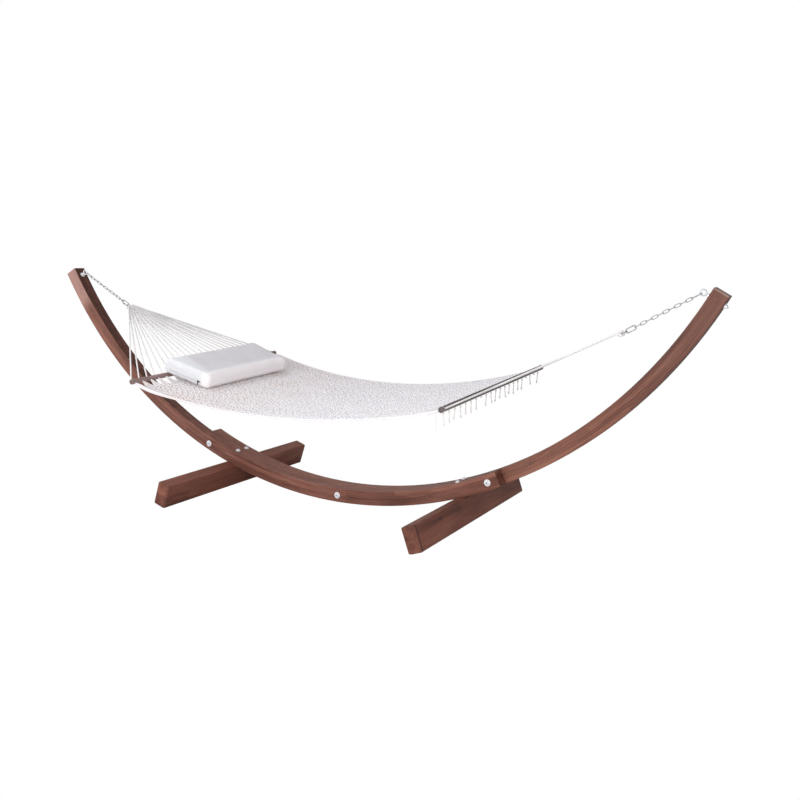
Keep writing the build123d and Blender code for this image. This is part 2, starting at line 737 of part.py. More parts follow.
left_bed_lacing = lacing(-1)
save(left_bed_lacing, "left_bed_lacing")
right_bed_lacing = lacing(1)
save(right_bed_lacing, "right_bed_lacing")


def rope_along(points, radius):
    """Round rope through a line of points, eased at every corner."""
    radii = []
    for before, corner, after in zip(points, points[1:], points[2:]):
        turn = (corner - before).get_angle(after - corner)
        run = min((corner - before).length, (after - corner).length)
        radii.append(ROPE_BEND_SHARE * run / tan(radians(turn) / 2))
    print("rope of radius", radius, "bends no tighter than", round(min(radii), 1), "mm")
    with BuildPart() as piece:
        with BuildLine() as course:
            FilletPolyline(*points, radius=radii)
        with BuildSketch(Plane(origin=course.wire() @ 0, z_dir=course.wire() % 0)):
            Circle(radius)
        sweep(path=course.wire())
    return piece


def edge_rope(way):
    """Selvedge rope along one long edge of the bed, tied round the bars' ends."""
    y = way * (BED_HALF_WIDTH + EDGE_ROPE_RADIUS + EDGE_ROPE_GAP)
    points = [neck_side_point(-1, way, -1, EDGE_ROPE_RADIUS)]
    for index in range(EDGE_ROPE_RUNS + 1):
        x = BED_LEFT_X + (BED_RIGHT_X - BED_LEFT_X) * index / EDGE_ROPE_RUNS
        points.append(Vector(x, y, bed_height(x, y)))
    points.append(neck_side_point(1, way, -1, EDGE_ROPE_RADIUS))
    return rope_along(points, EDGE_ROPE_RADIUS)


near_edge_rope = edge_rope(-1)
save(near_edge_rope, "near_edge_rope")
far_edge_rope = edge_rope(1)
save(far_edge_rope, "far_edge_rope")


# ================================================================ knots and rope tails
def knot_point(offset):
    """Knot under the right bar, where a clew rope is tied off."""
    x = RIGHT_BAR_X + KNOT_SHIFT
    at_neck = abs(offset) > ROPE_SPAN / 2 + 1
    seat = NECK_LOOP_MAJOR + NECK_LOOP_RADIUS if at_neck else BAR_RADIUS
    below = seat + KNOT_RADIUS + KNOT_GAP
    middle = hole_centre(1, offset)
    return Vector(x, middle.Y, middle.Z - below)


knot_offsets = [-NECK_OFFSET, *rope_offsets(ROPE_COUNT, ROPE_SPAN)]
tail_offsets = [knot_offsets[0]]
for index, offset in enumerate(knot_offsets[1:]):
    if index not in TRIMMED_HOLES:
        tail_offsets.append(offset)
with BuildPart() as bar_knots:
    with Locations(*[knot_point(offset) for offset in knot_offsets]):
        Sphere(KNOT_RADIUS)
save(bar_knots, "bar_knots")


def tail_points(index, offset):
    """A short limp tail that hangs from its knot, each leaning its own way."""
    top = knot_point(offset) - Vector(0, 0, KNOT_RADIUS + TAIL_GAP)
    lean_x = TAIL_LEAN_X * sin(2.4 * index + 0.6)
    lean_y = TAIL_LEAN_Y * sin(1.7 * index + 1.1)
    length = TAIL_LENGTH * (1 + TAIL_LENGTH_SPREAD * sin(3.1 * index))
    points = []
    for step in range(TAIL_STEPS + 1):
        share = step / TAIL_STEPS
        bow = share * share
        wave = TAIL_WAVE * sin(3 * share + index)
        points.append(top + Vector(lean_x * bow, lean_y * bow + wave, -length * share))
    return points


with BuildPart() as rope_tails:
    for index, offset in enumerate(tail_offsets):
        add(rope_along(tail_points(index, offset), TAIL_RADIUS).part)
save(rope_tails, "rope_tails")

corner_neck = hole_centre(1, -NECK_OFFSET)
corner_x = corner_neck.X - CORNER_TAIL_INSET
corner_y = corner_neck.Y + EDGE_ROPE_RADIUS / 2
corner_z = corner_neck.Z - CORNER_TAIL_DROP
corner_points = [
    Vector(corner_x, corner_y, corner_z),
    Vector(corner_x - 1.5, corner_y - 0.5, corner_z - CORNER_TAIL_LENGTH * 0.25),
    Vector(corner_x - 1.0, corner_y - 1.5, corner_z - CORNER_TAIL_LENGTH * 0.5),
    Vector(corner_x + 0.5, corner_y - 1.0, corner_z - CORNER_TAIL_LENGTH * 0.75),
    Vector(corner_x + 1.0, corner_y + 0.5, corner_z - CORNER_TAIL_LENGTH),
]
save(rope_along(corner_points, CORNER_TAIL_RADIUS), "corner_tail")


# ================================================================ pillow
pillow_tilt = radians(PILLOW_TILT)
pillow_pitch = radians(PILLOW_PITCH)
pillow_along = Vector(0, cos(pillow_tilt), sin(pillow_tilt))
pillow_down = Vector(cos(pillow_pitch), 0, -sin(pillow_pitch))
pillow_down = (pillow_down - pillow_along * pillow_down.dot(pillow_along)).normalized()
pillow_plane = Plane(
    origin=(PILLOW_X, PILLOW_Y, PILLOW_Z), x_dir=pillow_down, z_dir=pillow_down.cross(pillow_along)
)


def soft_box(shrink):
    with BuildPart() as piece:
        Box(PILLOW_WIDTH - 2 * shrink, PILLOW_LENGTH - 2 * shrink, PILLOW_THICKNESS - 2 * shrink)
        fillet(piece.edges(), PILLOW_FILLET - shrink)
    return piece.part


with BuildPart() as pillow_cover:
    with Locations(pillow_plane):
        add(soft_box(0))
        add(soft_box(COVER_THICKNESS), mode=Mode.SUBTRACT)
save(pillow_cover, "pillow_cover")

with BuildPart() as pillow_filling:
    with Locations(pillow_plane):
        add(soft_box(COVER_THICKNESS + COVER_GAP))
save(pillow_filling, "pillow_filling")

zip_face = Plane(
    origin=pillow_plane.from_local_coords((0, -PILLOW_LENGTH / 2 - ZIP_SEAT_GAP, -ZIP_DROP)),
    x_dir=pillow_down,
    z_dir=-pillow_along,
)
with BuildPart(zip_face) as pillow_zip:
    with Locations((0, 0, ZIP_THICKNESS / 2)):
        Box(ZIP_LENGTH, ZIP_WIDTH, ZIP_THICKNESS)
save(pillow_zip, "pillow_zip")

with BuildPart(zip_face) as zip_slider:
    slider_middle = ZIP_THICKNESS + SLIDER_GAP + SLIDER_THICKNESS / 2
    with Locations((ZIP_LENGTH / 2 - SLIDER_LENGTH, 0, slider_middle)):
        Box(SLIDER_LENGTH, SLIDER_WIDTH, SLIDER_THICKNESS)
        fillet(zip_slider.edges(), SLIDER_FILLET)
save(zip_slider, "zip_slider")

hinge_left = chain_plane(-1, 0, flat=True).origin
hinge_right = chain_plane(1, 0, flat=True).origin
print("arc centre height", round(ARC_CENTRE_Z, 2), "underside", round(ARC_CENTRE_Z - ARC_OUTER_RADIUS, 2))
print("swing line", hinge_left, hinge_right)
for side in (-1, 1):
    ring = chain_plane(side, RING_CENTRE, flat=True).origin
    fall = bar_centre(side) - ring
    pitch = degrees(atan2(-fall.Z, hypot(fall.X, fall.Y)))
    print("ring", ring, "clew length", round(fall.length), "pitch", round(pitch, 1))
    gate = chain_plane(side, HOOK_START, flat=False)
    pin = gate.from_local_coords((GATE_PIN_POSITION, (HOOK_WIDTH + HOOK_WIRE) / 2, 0))
    print("gate pin", pin, "axis", gate.z_dir)
print("pillow lift axis", pillow_plane.z_dir)
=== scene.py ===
from math import asin, ceil, cos, pi, radians, sin

import bmesh
import bpy
import numpy as np
from mathutils import Matrix, Vector
from mathutils.bvhtree import BVHTree


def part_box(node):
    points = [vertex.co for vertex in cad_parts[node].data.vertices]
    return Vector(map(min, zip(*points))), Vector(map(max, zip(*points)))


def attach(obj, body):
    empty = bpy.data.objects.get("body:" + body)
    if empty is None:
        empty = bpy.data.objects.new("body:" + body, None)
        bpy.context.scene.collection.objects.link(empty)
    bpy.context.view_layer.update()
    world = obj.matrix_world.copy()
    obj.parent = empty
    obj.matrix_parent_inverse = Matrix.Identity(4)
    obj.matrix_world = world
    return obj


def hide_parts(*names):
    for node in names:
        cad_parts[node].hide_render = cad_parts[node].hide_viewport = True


# Rope hammock with spreader bars on a curved timber stand. Metres, in the CAD frame:
# +X along the arc, +Y from the near beam to the far one, +Z up from the floor.

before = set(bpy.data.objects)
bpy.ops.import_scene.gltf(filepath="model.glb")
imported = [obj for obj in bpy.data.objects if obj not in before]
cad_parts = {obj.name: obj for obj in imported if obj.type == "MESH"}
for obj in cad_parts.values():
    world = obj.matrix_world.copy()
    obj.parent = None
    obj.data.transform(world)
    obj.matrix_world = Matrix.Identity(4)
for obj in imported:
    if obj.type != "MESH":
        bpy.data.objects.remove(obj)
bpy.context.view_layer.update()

# ---- sizes shared with the CAD
ARC_CENTRE_Z = 2.33713
ARC_MIDDLE_RADIUS = 2.29
BEAM_DEPTH = 0.080
BEAM_WIDTH = 0.074
ARC_BOLT_SPACING = radians(23.7) * ARC_MIDDLE_RADIUS
FOOT_LEAN = radians(19.0)
FOOT_RADIUS = 2.397
FOOT_WIDTH = 0.076
FOOT_HEIGHT = 0.134
BAR_TILTS = {-1: radians(2.0), 1: radians(2.7)}
BAR_RADIUS = 0.0135
NECK_OFFSET = 0.588
NECK_RADIUS = 0.0105
NECK_LOOP_REACH = 0.0155
ROPE_COUNT = 20
ROPE_SPAN = 1.064
HOLE_PITCH = radians(24.0)
RING_RADIUS = 0.0165
RING_WIRE = 0.0025
BED_LEFT_X = -0.868
BED_RIGHT_X = 0.850
BED_LOW_X = -0.082
BED_LOW_Z = 0.579
BED_SAG_RATE = 0.137
BED_TILT_MIDDLE = 0.018
BED_TILT_RATE = 0.04
BED_HALF_WIDTH = 0.572
KNOT_RADIUS = 0.0042
KNOT_SHIFT = 0.0061
TAIL_RADIUS = 0.0026
TAIL_LENGTH = 0.048
TAIL_STEPS = 4
TAIL_GAP = 0.0005
TRIMMED_HOLES = (6, 16, 18)
CORNER_TAIL_INSET = 0.032
CORNER_TAIL_DROP = 0.022
CORNER_TAIL_RADIUS = 0.0015
CORNER_TAIL_LENGTH = 0.078
PILLOW_LENGTH = 0.735
PILLOW_WIDTH = 0.318
PILLOW_THICKNESS = 0.090
PILLOW_PLACE = (-0.799, -0.006, 0.7173)
PILLOW_PITCH = radians(17.2)
PILLOW_TILT = radians(2.1)
ZIP_DROP = 0.012

# ---- sizes of the looks only
CLEW_ROPE_RADIUS = 0.0042
CLEW_FAN_ANGLE = radians(72.0)
CLEW_EYE_TURNS = 12
LACING_RADIUS = 0.0030
LACING_STRANDS = (-2, -1, 0, 1, 2)
NET_ROPE_RADIUS = 0.0051
NET_LINES_PER_HOLE = 4
NET_HALF_CELLS = 84
NET_STEPS_PER_HALF_CELL = 4
NET_BEND_SHARPNESS = 0.96
EDGE_ROPE_RADIUS = 0.0042
EDGE_RUNS = 12
EDGE_BINDING_THICKNESS = 1.9  # as a share of the edge rope's radius
EDGE_BINDING_REACH = 0.24  # as a share of the edge rope's length
NECK_LOOP_RADIUS = 0.0021
NECK_LOOP_TURNS = 2.2
NECK_LOOP_STEPS = 60
NECK_LOOP_TRAVEL = 0.0066
KNOT_STRING_RADIUS = 0.00165
KNOT_SCALE = 0.00112
KNOT_STEPS = 42
TAIL_LENGTH_SPREAD = 0.18
CORNER_TAIL_LEANS = ((0, 0), (-0.0015, -0.0005), (-0.0010, -0.0015), (0.0005, -0.0010), (0.0010, 0.0005))
PILLOW_MARGIN = 0.003
PILLOW_TAPER = 0.052  # the edge towards the bar is longer than the other
PILLOW_EDGE_RADIUS = 0.027
PILLOW_MESH_SPACING = 0.007
PILLOW_SWELL = 0.008
PILLOW_CORNER = 0.014
WELT_RADIUS = 0.0017
ZIP_HALF_LENGTH = 0.105
ZIP_TAPE_STEPS = 42
ZIP_TAPE_LANES = (-0.0036, 0.0, 0.0036)
ZIP_TAPE_THICKNESS = 0.0009
ZIP_COIL_TURNS = 120
ZIP_COIL_STEPS = 6  # in one turn
ZIP_COIL_RADIUS = 0.0009

# ---- the camera
CAMERA_PLACE = (2.7051, -3.9242, 1.3898)
CAMERA_YAW = radians(25.757)
CAMERA_PITCH = radians(10.532)
CAMERA_ROLL = radians(-0.889)
CAMERA_LENS = 38.823
CAMERA_SHIFT = (-0.0944, 0.0159)

# ---- tones, dark to light
NEAR_BEAM_TONES = ((0.062, 0.020, 0.0125), (0.165, 0.060, 0.040), (0.290, 0.125, 0.086))
FAR_BEAM_TONES = ((0.058, 0.018, 0.0105), (0.148, 0.053, 0.0335), (0.258, 0.110, 0.071))
LEFT_FOOT_TONES = ((0.062, 0.019, 0.0108), (0.158, 0.051, 0.0310), (0.275, 0.103, 0.064))
RIGHT_FOOT_TONES = ((0.053, 0.016, 0.0090), (0.136, 0.044, 0.0262), (0.238, 0.090, 0.0555))
# The two bars are one wood: the left bar's tones hold painted light and the right bar's tones painted
# shade.
LEFT_BAR_LIT_TONES = ((0.125, 0.074, 0.067), (0.260, 0.172, 0.160), (0.370, 0.265, 0.250))
RIGHT_BAR_SHADED_TONES = ((0.075, 0.062, 0.063), (0.140, 0.118, 0.120), (0.215, 0.190, 0.192))
WOOD_KNOT_TONE = (0.030, 0.012, 0.010)


# ---- small helpers
def add_piece(name, data):
    piece = bpy.data.objects.new(name, data)
    bpy.context.collection.objects.link(piece)
    return piece


def placed_axes(first, second, third, place):
    """The matrix that puts local X, Y and Z along three axes, and the origin at a place."""
    matrix = Matrix((first, second, third)).transposed().to_4x4()
    matrix.translation = place
    return matrix


# ---- camera, light and floor
def place_camera():
    yaw, pitch, roll = CAMERA_YAW, CAMERA_PITCH, CAMERA_ROLL
    forward = Vector((-sin(yaw) * cos(pitch), cos(yaw) * cos(pitch), -sin(pitch)))
    level = Vector((cos(yaw), sin(yaw), 0))
    above = level.cross(forward)
    right = level * cos(roll) - above * sin(roll)
    up = level * sin(roll) + above * cos(roll)
    data = bpy.data.cameras.new("camera")
    data.sensor_width = 36.0
    data.lens = CAMERA_LENS
    data.shift_x, data.shift_y = CAMERA_SHIFT
    data.clip_end = 200.0
    camera = add_piece("camera", data)
    camera.matrix_world = placed_axes(right, up, -forward, CAMERA_PLACE)
    bpy.context.scene.camera = camera


def area_light(name, place, target, size, power):
    data = bpy.data.lights.new(name, "AREA")
    data.shape = "RECTANGLE"
    data.size, data.size_y = size
    data.energy = power
    light = add_piece(name, data)
    light.location = place
    aim = Vector(target) - Vector(place)
    light.rotation_mode = "QUATERNION"
    light.rotation_quaternion = aim.to_track_quat("-Z", "Y")


def split_by_camera(tree, lighting, seen, surface):
    """One shader that lights the scene, and another that the camera sees."""
    mixer = tree.nodes.new("ShaderNodeMixShader")
    rays = tree.nodes.new("ShaderNodeLightPath")
    tree.links.new(rays.outputs["Is Camera Ray"], mixer.inputs[0])
    tree.links.new(lighting.outputs[0], mixer.inputs[1])
    tree.links.new(seen.outputs[0], mixer.inputs[2])
    tree.links.new(mixer.outputs[0], surface.inputs["Surface"])


def build_world():
    world = bpy.data.worlds.new("studio")
    bpy.context.scene.world = world
    world.use_nodes = True
    tree = world.node_tree
    tree.nodes.clear()
    output = tree.nodes.new("ShaderNodeOutputWorld")
    fill = tree.nodes.new("ShaderNodeBackground")
    seen = tree.nodes.new("ShaderNodeBackground")
    fill.inputs["Color"].default_value = (0.98, 0.975, 1.0, 1)
    fill.inputs["Strength"].default_value = 0.50
    seen.inputs["Color"].default_value = (1, 1, 1, 1)
    seen.inputs["Strength"].default_value = 1.0
    split_by_camera(tree, fill, seen, output)


def build_floor():
    reach = 60.0
    corners = [(-reach, -reach, 0), (reach, -reach, 0), (reach, reach, 0), (-reach, reach, 0)]
    mesh = bpy.data.meshes.new("floor")
    mesh.from_pydata(corners, [], [(0, 1, 2, 3)])
    floor = add_piece("floor", mesh)
    pale = bpy.data.materials.new("floor_pale")
    pale.use_nodes = True
    tree = pale.node_tree
    surface = tree.nodes["Principled BSDF"]
    surface.inputs["Base Color"].default_value = (0.76, 0.76, 0.77, 1)
    surface.inputs["Roughness"].default_value = 0.9
    glow = tree.nodes.new("ShaderNodeEmission")
    split_by_camera(tree, surface, glow, tree.nodes["Material Output"])
    mesh.materials.append(pale)


def build_studio():
    build_world()
    area_light("key", (-0.8, -5.6, 2.1), (0, 0, 0.5), (3.6, 2.2), 138)
    area_light("left", (-4.6, -2.6, 2.0), (-1.8, 0, 1.1), (2.0, 1.6), 47)
    area_light("right", (2.2, -1.8, 1.0), (-0.65, 0, 0.7), (1.2, 0.9), 24)
    area_light("top", (-2.4, -1.0, 4.4), (-0.2, 0, 0.4), (3.6, 3.0), 62)
    build_floor()
    bpy.context.scene.view_settings.view_transform = "Standard"


# ---- shader helpers
class Shader:
    """A material's node tree with short names for what the materials below need."""

    def __init__(self, name):
        self.material = bpy.data.materials.new(name)
        self.material.use_nodes = True
        self.tree = self.material.node_tree
        self.surface = self.tree.nodes["Principled BSDF"]

    def new(self, kind):
        return self.tree.nodes.new("ShaderNode" + kind)

    def put(self, socket, value):
        if isinstance(value, bpy.types.NodeSocket):
            self.tree.links.new(value, socket)
        elif isinstance(value, tuple) and len(value) == 3 and socket.type == "RGBA":
            socket.default_value = (*value, 1)
        else:
            socket.default_value = value

    def set(self, **values):
        for name, value in values.items():
            self.put(self.surface.inputs[name.replace("_", " ")], value)

    def math(self, operation, *values):
        node = self.new("Math")
        node.operation = operation
        for socket, value in zip(node.inputs, values):
            self.put(socket, value)
        return node.outputs[0]

    def plus(self, first, second):
        return self.math("ADD", first, second)

    def minus(self, first, second):
        return self.math("SUBTRACT", first, second)

    def times(self, first, second):
        return self.math("MULTIPLY", first, second)

    def size(self, value):
        return self.math("ABSOLUTE", value)

    def weigh(self, first, *others):
        """The sum of values, each times its weight."""
        total = self.times(*first)
        for pair in others:
            total = self.plus(total, self.times(*pair))
        return total

    def vector(self, operation, *values):
        node = self.new("VectorMath")
        node.operation = operation
        for socket, value in zip(node.inputs, values):
            self.put(socket, value)
        return node.outputs["Value"] if operation in ("LENGTH", "DOT_PRODUCT") else node.outputs[0]

    def place(self):
        return self.new("TexCoord").outputs["Object"]

    def normal(self):
        return self.new("TexCoord").outputs["Normal"]

    def around(self):
        """Turn around a rope and metres along it."""
        node = self.new("UVMap")
        node.uv_map = "along"
        return self.split(node.outputs[0])

    def split(self, socket):
        node = self.new("SeparateXYZ")
        self.put(node.inputs[0], socket)
        return node.outputs

    def join(self, x, y, z):
        node = self.new("CombineXYZ")
        for socket, value in zip(node.inputs, (x, y, z)):
            self.put(socket, value)
        return node.outputs[0]

    def stretch(self, values, rates):
        """A point whose three parts are scaled, so that what repeats along them is stretched."""
        return self.join(*(self.times(value, rate) for value, rate in zip(values, rates)))

    def noise(self, place, scale, detail=3.0, roughness=0.55):
        node = self.new("TexNoise")
        self.put(node.inputs["Vector"], place)
        node.inputs["Scale"].default_value = scale
        node.inputs["Detail"].default_value = detail
        node.inputs["Roughness"].default_value = roughness
        return node.outputs["Fac"]

    def cells(self, place, scale):
        node = self.new("TexVoronoi")
        self.put(node.inputs["Vector"], place)
        node.inputs["Scale"].default_value = scale
        return node.outputs["Distance"]

    def random(self, place):
        node = self.new("TexWhiteNoise")
        self.put(node.inputs["Vector"], place)
        return node.outputs["Value"]

    def ramp(self, value, *stops):
        node = self.new("ValToRGB")
        self.put(node.inputs[0], value)
        elements = node.color_ramp.elements
        while len(elements) < len(stops):
            elements.new(0.5)
        for element, (position, colour) in zip(elements, stops):
            element.position = position
            element.color = (*colour, 1)
        return node.outputs["Color"]

    def step(self, value, low, high, first=0.0, last=1.0):
        node = self.new("MapRange")
        node.interpolation_type = "SMOOTHSTEP"
        for socket, number in zip(node.inputs, (value, low, high, first, last)):
            self.put(socket, number)
        return node.outputs[0]

    def mix(self, factor, first, second):
        node = self.new("Mix")
        node.data_type = "RGBA"
        sockets = {socket.identifier: socket for socket in node.inputs}
        self.put(sockets["Factor_Float"], factor)
        self.put(sockets["A_Color"], first)
        self.put(sockets["B_Color"], second)
        results = {socket.identifier: socket for socket in node.outputs}
        return results["Result_Color"]

    def bump(self, height, strength, distance):
        node = self.new("Bump")
        node.inputs["Strength"].default_value = strength
        node.inputs["Distance"].default_value = distance
        self.put(node.inputs["Height"], height)
        self.tree.links.new(node.outputs[0], self.surface.inputs["Normal"])


# ---- timber
def grain_place(s, kind, side=1):
    """Metres along the grain, across the piece and through its depth, and its half sizes."""
    x, y, z = s.split(s.place())
    if kind == "arc":
        down = s.minus(ARC_CENTRE_Z, z)
        radius = s.math("SQRT", s.weigh((x, x), (down, down)))
        along = s.times(s.math("ARCTAN2", x, down), ARC_MIDDLE_RADIUS)
        depth = s.minus(radius, ARC_MIDDLE_RADIUS)
        across = s.minus(y, side * BEAM_WIDTH / 2)
        return along, across, depth, BEAM_WIDTH / 2, BEAM_DEPTH / 2
    if kind == "foot":
        upright, lean = cos(FOOT_LEAN), side * sin(FOOT_LEAN)
        from_middle = s.minus(x, FOOT_RADIUS * lean)
        above_middle = s.minus(z, ARC_CENTRE_Z - FOOT_RADIUS * upright)
        across = s.weigh((from_middle, upright), (above_middle, lean))
        depth = s.weigh((above_middle, upright), (from_middle, -lean))
        return y, across, depth, FOOT_WIDTH / 2, FOOT_HEIGHT / 2
    return y, x, z, BAR_RADIUS, BAR_RADIUS


def layered_boards(s, tone, along, level, seed):
    """Boards of slightly different tone, glued in layers and joined end to end."""
    layer = s.math("FLOOR", level)
    stave = s.math("FLOOR", s.weigh((along, 1.15), (layer, 0.37)))
    board = s.random(s.join(s.plus(layer, 0.5), stave, seed + 0.25))
    tone = s.plus(tone, s.times(s.minus(board, 0.5), 0.16))
    seam = s.size(s.minus(s.math("FRACT", level), 0.5))
    return s.minus(tone, s.step(seam, 0.475, 0.5, 0.0, 0.09))


def near_beam_painted_light(s, colour, along, facing, dark):
    """Painted light: a painted highlight on the near side by the left tip, and painted shade on the inner
    face and the right end.
    """
    tip = s.step(along, -2.26, -2.16, 0.60, 0.0)
    near_face = s.step(facing[1], -0.9, -0.5, 1.0, 0.0)
    colour = s.mix(s.times(tip, near_face), colour, (0.42, 0.245, 0.205))
    return s.mix(s.step(facing[0], 0.58, 0.74, 0.0, 0.40), colour, dark)


def far_beam_painted_light(s, colour, along, dark, worn):
    """Painted light and shade: paler at the middle of the arc, darker up the arm, and a painted highlight
    at the right tip's end.
    """
    colour = s.mix(s.step(along, 1.15, 1.65, 0.22, 0.0), colour, worn)
    colour = s.mix(s.step(along, 1.40, 2.20, 0.0, 0.26), colour, dark)
    return s.mix(s.step(along, 2.437, 2.4435, 0.0, 0.40), colour, (0.46, 0.33, 0.27))


def right_foot_painted_shade(s, colour, along, facing, dark):
    """Painted shade: a dark line at each end of the long faces, and the end grain a little darker."""
    arris_shade = s.step(s.size(along), 0.584, 0.590, 0.0, 0.92)
    long_face = s.step(s.size(facing[1]), 0.3, 0.6, 1.0, 0.0)
    colour = s.mix(s.times(arris_shade, long_face), colour, (0.030, 0.010, 0.008))
    return s.mix(s.step(long_face, 0.2, 0.8, 0.25, 0.0), colour, dark)


def timber(name, kind, side, tones, seed):
    """Stained wood: streaks and growth lines along the grain, knots, rubbed edges, and painted light on
    faces that look up and on some pieces.
    """
    s = Shader(name)
    along, across, depth, half_width, half_depth = grain_place(s, kind, side)
    dark, middle, light = tones
    # worn is the paler tone of rubbed edges, and also of the painted light on faces that look up and on
    # the far beam.
    worn = tuple(min(1.0, channel * 1.5 + 0.03) for channel in light)
    shifted = s.plus(along, seed)
    grain = (shifted, across, depth)
    streak_place = s.stretch(grain, (1.6, 16.0, 16.0))
    streaks = s.noise(streak_place, 1.4, 4.0, 0.62)
    fine = s.noise(s.stretch(grain, (9.0, 260.0, 260.0)), 1.0, 3.0, 0.6)
    swirl = s.noise(s.stretch(grain, (2.2, 9.0, 9.0)), 1.0, 2.0)
    slant = s.plus(depth, s.times(across, 0.35))
    turns = s.weigh((slant, 95.0), (swirl, 7.0))
    ripple = s.math("SINE", s.times(turns, 2 * pi))
    growth = s.times(s.plus(ripple, 1.0), 0.5)
    tone = s.weigh((streaks, 0.62), (fine, 0.22), (growth, 0.10))
    if kind != "bar":
        thickness = 2 * half_depth / (4 if kind == "arc" else 2)
        level = s.math("DIVIDE", s.plus(depth, half_depth), thickness)
        tone = layered_boards(s, tone, shifted, level, seed)
    colour = s.ramp(tone, (0.30, dark), (0.48, middle), (0.70, light))
    knots = s.step(s.cells(s.stretch(grain, (2.6, 8.0, 8.0)), 1.0), 0.03, 0.11, 0.8, 0.0)
    colour = s.mix(knots, colour, WOOD_KNOT_TONE)
    facing = s.split(s.normal())
    if kind == "bar":
        end_grain = s.step(s.size(facing[1]), 0.55, 0.90, 0.0, 0.75)
        colour = s.mix(end_grain, colour, dark)
    else:
        near_side = s.step(s.size(s.math("DIVIDE", across, half_width)), 0.90, 1.0)
        near_face = s.step(s.size(s.math("DIVIDE", depth, half_depth)), 0.91, 1.0)
        patchy = s.step(s.noise(streak_place, 5.0), 0.35, 0.7, 0.15, 0.6)
        rubbed = s.times(s.times(near_side, near_face), patchy)
        colour = s.mix(rubbed, colour, worn)
        # Painted light: faces that look up are paler.
        colour = s.mix(s.step(facing[2], 0.80, 0.97, 0.0, 0.28), colour, worn)
    if kind == "foot" and side > 0:
        colour = right_foot_painted_shade(s, colour, along, facing, dark)
    if kind == "arc" and side < 0:
        colour = near_beam_painted_light(s, colour, along, facing, dark)
    if kind == "arc" and side > 0:
        colour = far_beam_painted_light(s, colour, along, dark, worn)
    s.set(Base_Color=colour, Roughness=s.step(fine, 0.2, 0.8, 0.42, 0.60))
    s.set(Specular_IOR_Level=0.28)
    s.bump(s.weigh((fine, 0.6), (growth, 0.25)), 0.35, 0.0006)
    return s.material


# ---- metal
def bolt_socket_shade(s, colour):
    """A dark round spot of painted shade, for the socket in the middle of each of the three through-bolts'
    heads.
    """
    along, _, depth, _, _ = grain_place(s, "arc")
    turns = s.plus(s.math("DIVIDE", along, ARC_BOLT_SPACING), 0.5)
    past = s.times(s.minus(s.math("FRACT", turns), 0.5), ARC_BOLT_SPACING)
    away = s.vector("LENGTH", s.join(past, depth, 0.0))
    return s.mix(s.step(away, 0.0030, 0.0048, 1.0, 0.0), colour, (0.10, 0.09, 0.10))


def zinc(name, tone, roughness, metal, socket=False):
    """Zinc plate: faint crystal mottling, fine scratches and duller hollows."""
    s = Shader(name)
    place = s.place()
    mottle = s.noise(place, 220.0, 3.0)
    spangle = s.cells(place, 420.0)
    scratch = s.noise(s.vector("MULTIPLY", place, (2400.0, 300.0, 900.0)), 1.0, 2.0)
    shade = s.step(s.weigh((mottle, 0.7), (spangle, 0.3)), 0.2, 0.75)
    dull = tuple(channel * 0.72 for channel in tone)
    colour = s.mix(shade, dull, tone)
    if socket:
        colour = bolt_socket_shade(s, colour)
    s.set(Base_Color=colour, Metallic=metal)
    worn = s.weigh((mottle, 0.5), (scratch, 0.5))
    s.set(Roughness=s.step(worn, 0.3, 0.7, roughness - 0.08, roughness + 0.14))
    s.bump(scratch, 0.12, 0.0001)
    return s.material


# ---- cotton rope
def cotton_rope(name, lay, bright, groove_shade, stain, fuzz=0.35, relief=0.35, grey_fade=None):
    """Twisted cotton: three strands that wind round, with painted shade where they meet, and loose fibres.

    The last argument gives the two x between which a greyer tone fades out, in blotches, and that tone.
    """
    s = Shader(name)
    turn, along = s.around()[0:2]
    wind = s.weigh((turn, 3.0), (along, 3 / lay))
    across = s.size(s.minus(s.math("FRACT", wind), 0.5))
    dip = s.times(s.times(across, across), 3.9)
    strand = s.math("SQRT", s.math("MAXIMUM", s.minus(1.0, dip), 0.0))
    place = s.place()
    fibre_place = s.join(s.times(wind, 5.0), s.times(along, 90.0), 0.0)
    fibre = s.noise(fibre_place, 1.0, 3.0)
    patch = s.noise(place, 11.0, 3.0)
    fluff = s.noise(place, 900.0, 2.0)
    # Painted shade in the grooves between the strands.
    colour = s.mix(s.step(strand, 0.15, 0.85), groove_shade, bright)
    colour = s.mix(s.step(patch, 0.35, 0.72, 0.0, 0.45), colour, stain)
    fibre_tone = tuple(channel * 0.82 for channel in stain)
    colour = s.mix(s.times(fibre, 0.18), colour, fibre_tone)
    if grey_fade:
        reach, tone = grey_fade
        blotch = s.step(s.noise(place, 6.0, 4.0), 0.30, 0.70, 0.25, 0.90)
        fade = s.step(s.split(place)[0], reach[0], reach[1], 1.0, 0.0)
        colour = s.mix(s.times(blotch, fade), colour, tone)
    s.set(Base_Color=colour, Roughness=0.92, Specular_IOR_Level=0.15)
    s.set(Sheen_Weight=0.35, Sheen_Roughness=0.5, Sheen_Tint=(1.0, 0.98, 0.98))
    height = s.plus(strand, s.times(s.plus(fibre, fluff), fuzz))
    s.bump(height, relief, 0.0008)
    return s.material


# ---- tubes
def distance_along(points):
    steps = np.linalg.norm(np.diff(points, axis=0), axis=1)
    return np.concatenate(([0.0], np.cumsum(steps)))


def cross_frames(points):
    """Two directions square to a line at each of its points, that don't spin along it."""
    tangents = np.gradient(points, axis=0)
    tangents /= np.linalg.norm(tangents, axis=1)[:, None]
    normals = np.empty_like(points)
    normal = np.array((0.0, 0.0, 1.0))
    if abs(tangents[0] @ normal) > 0.9:
        normal = np.array((1.0, 0.0, 0.0))
    for index, tangent in enumerate(tangents):
        normal = normal - tangent * (normal @ tangent)
        normal = normal / np.linalg.norm(normal)
        normals[index] = normal
    return normals, np.cross(tangents, normals)


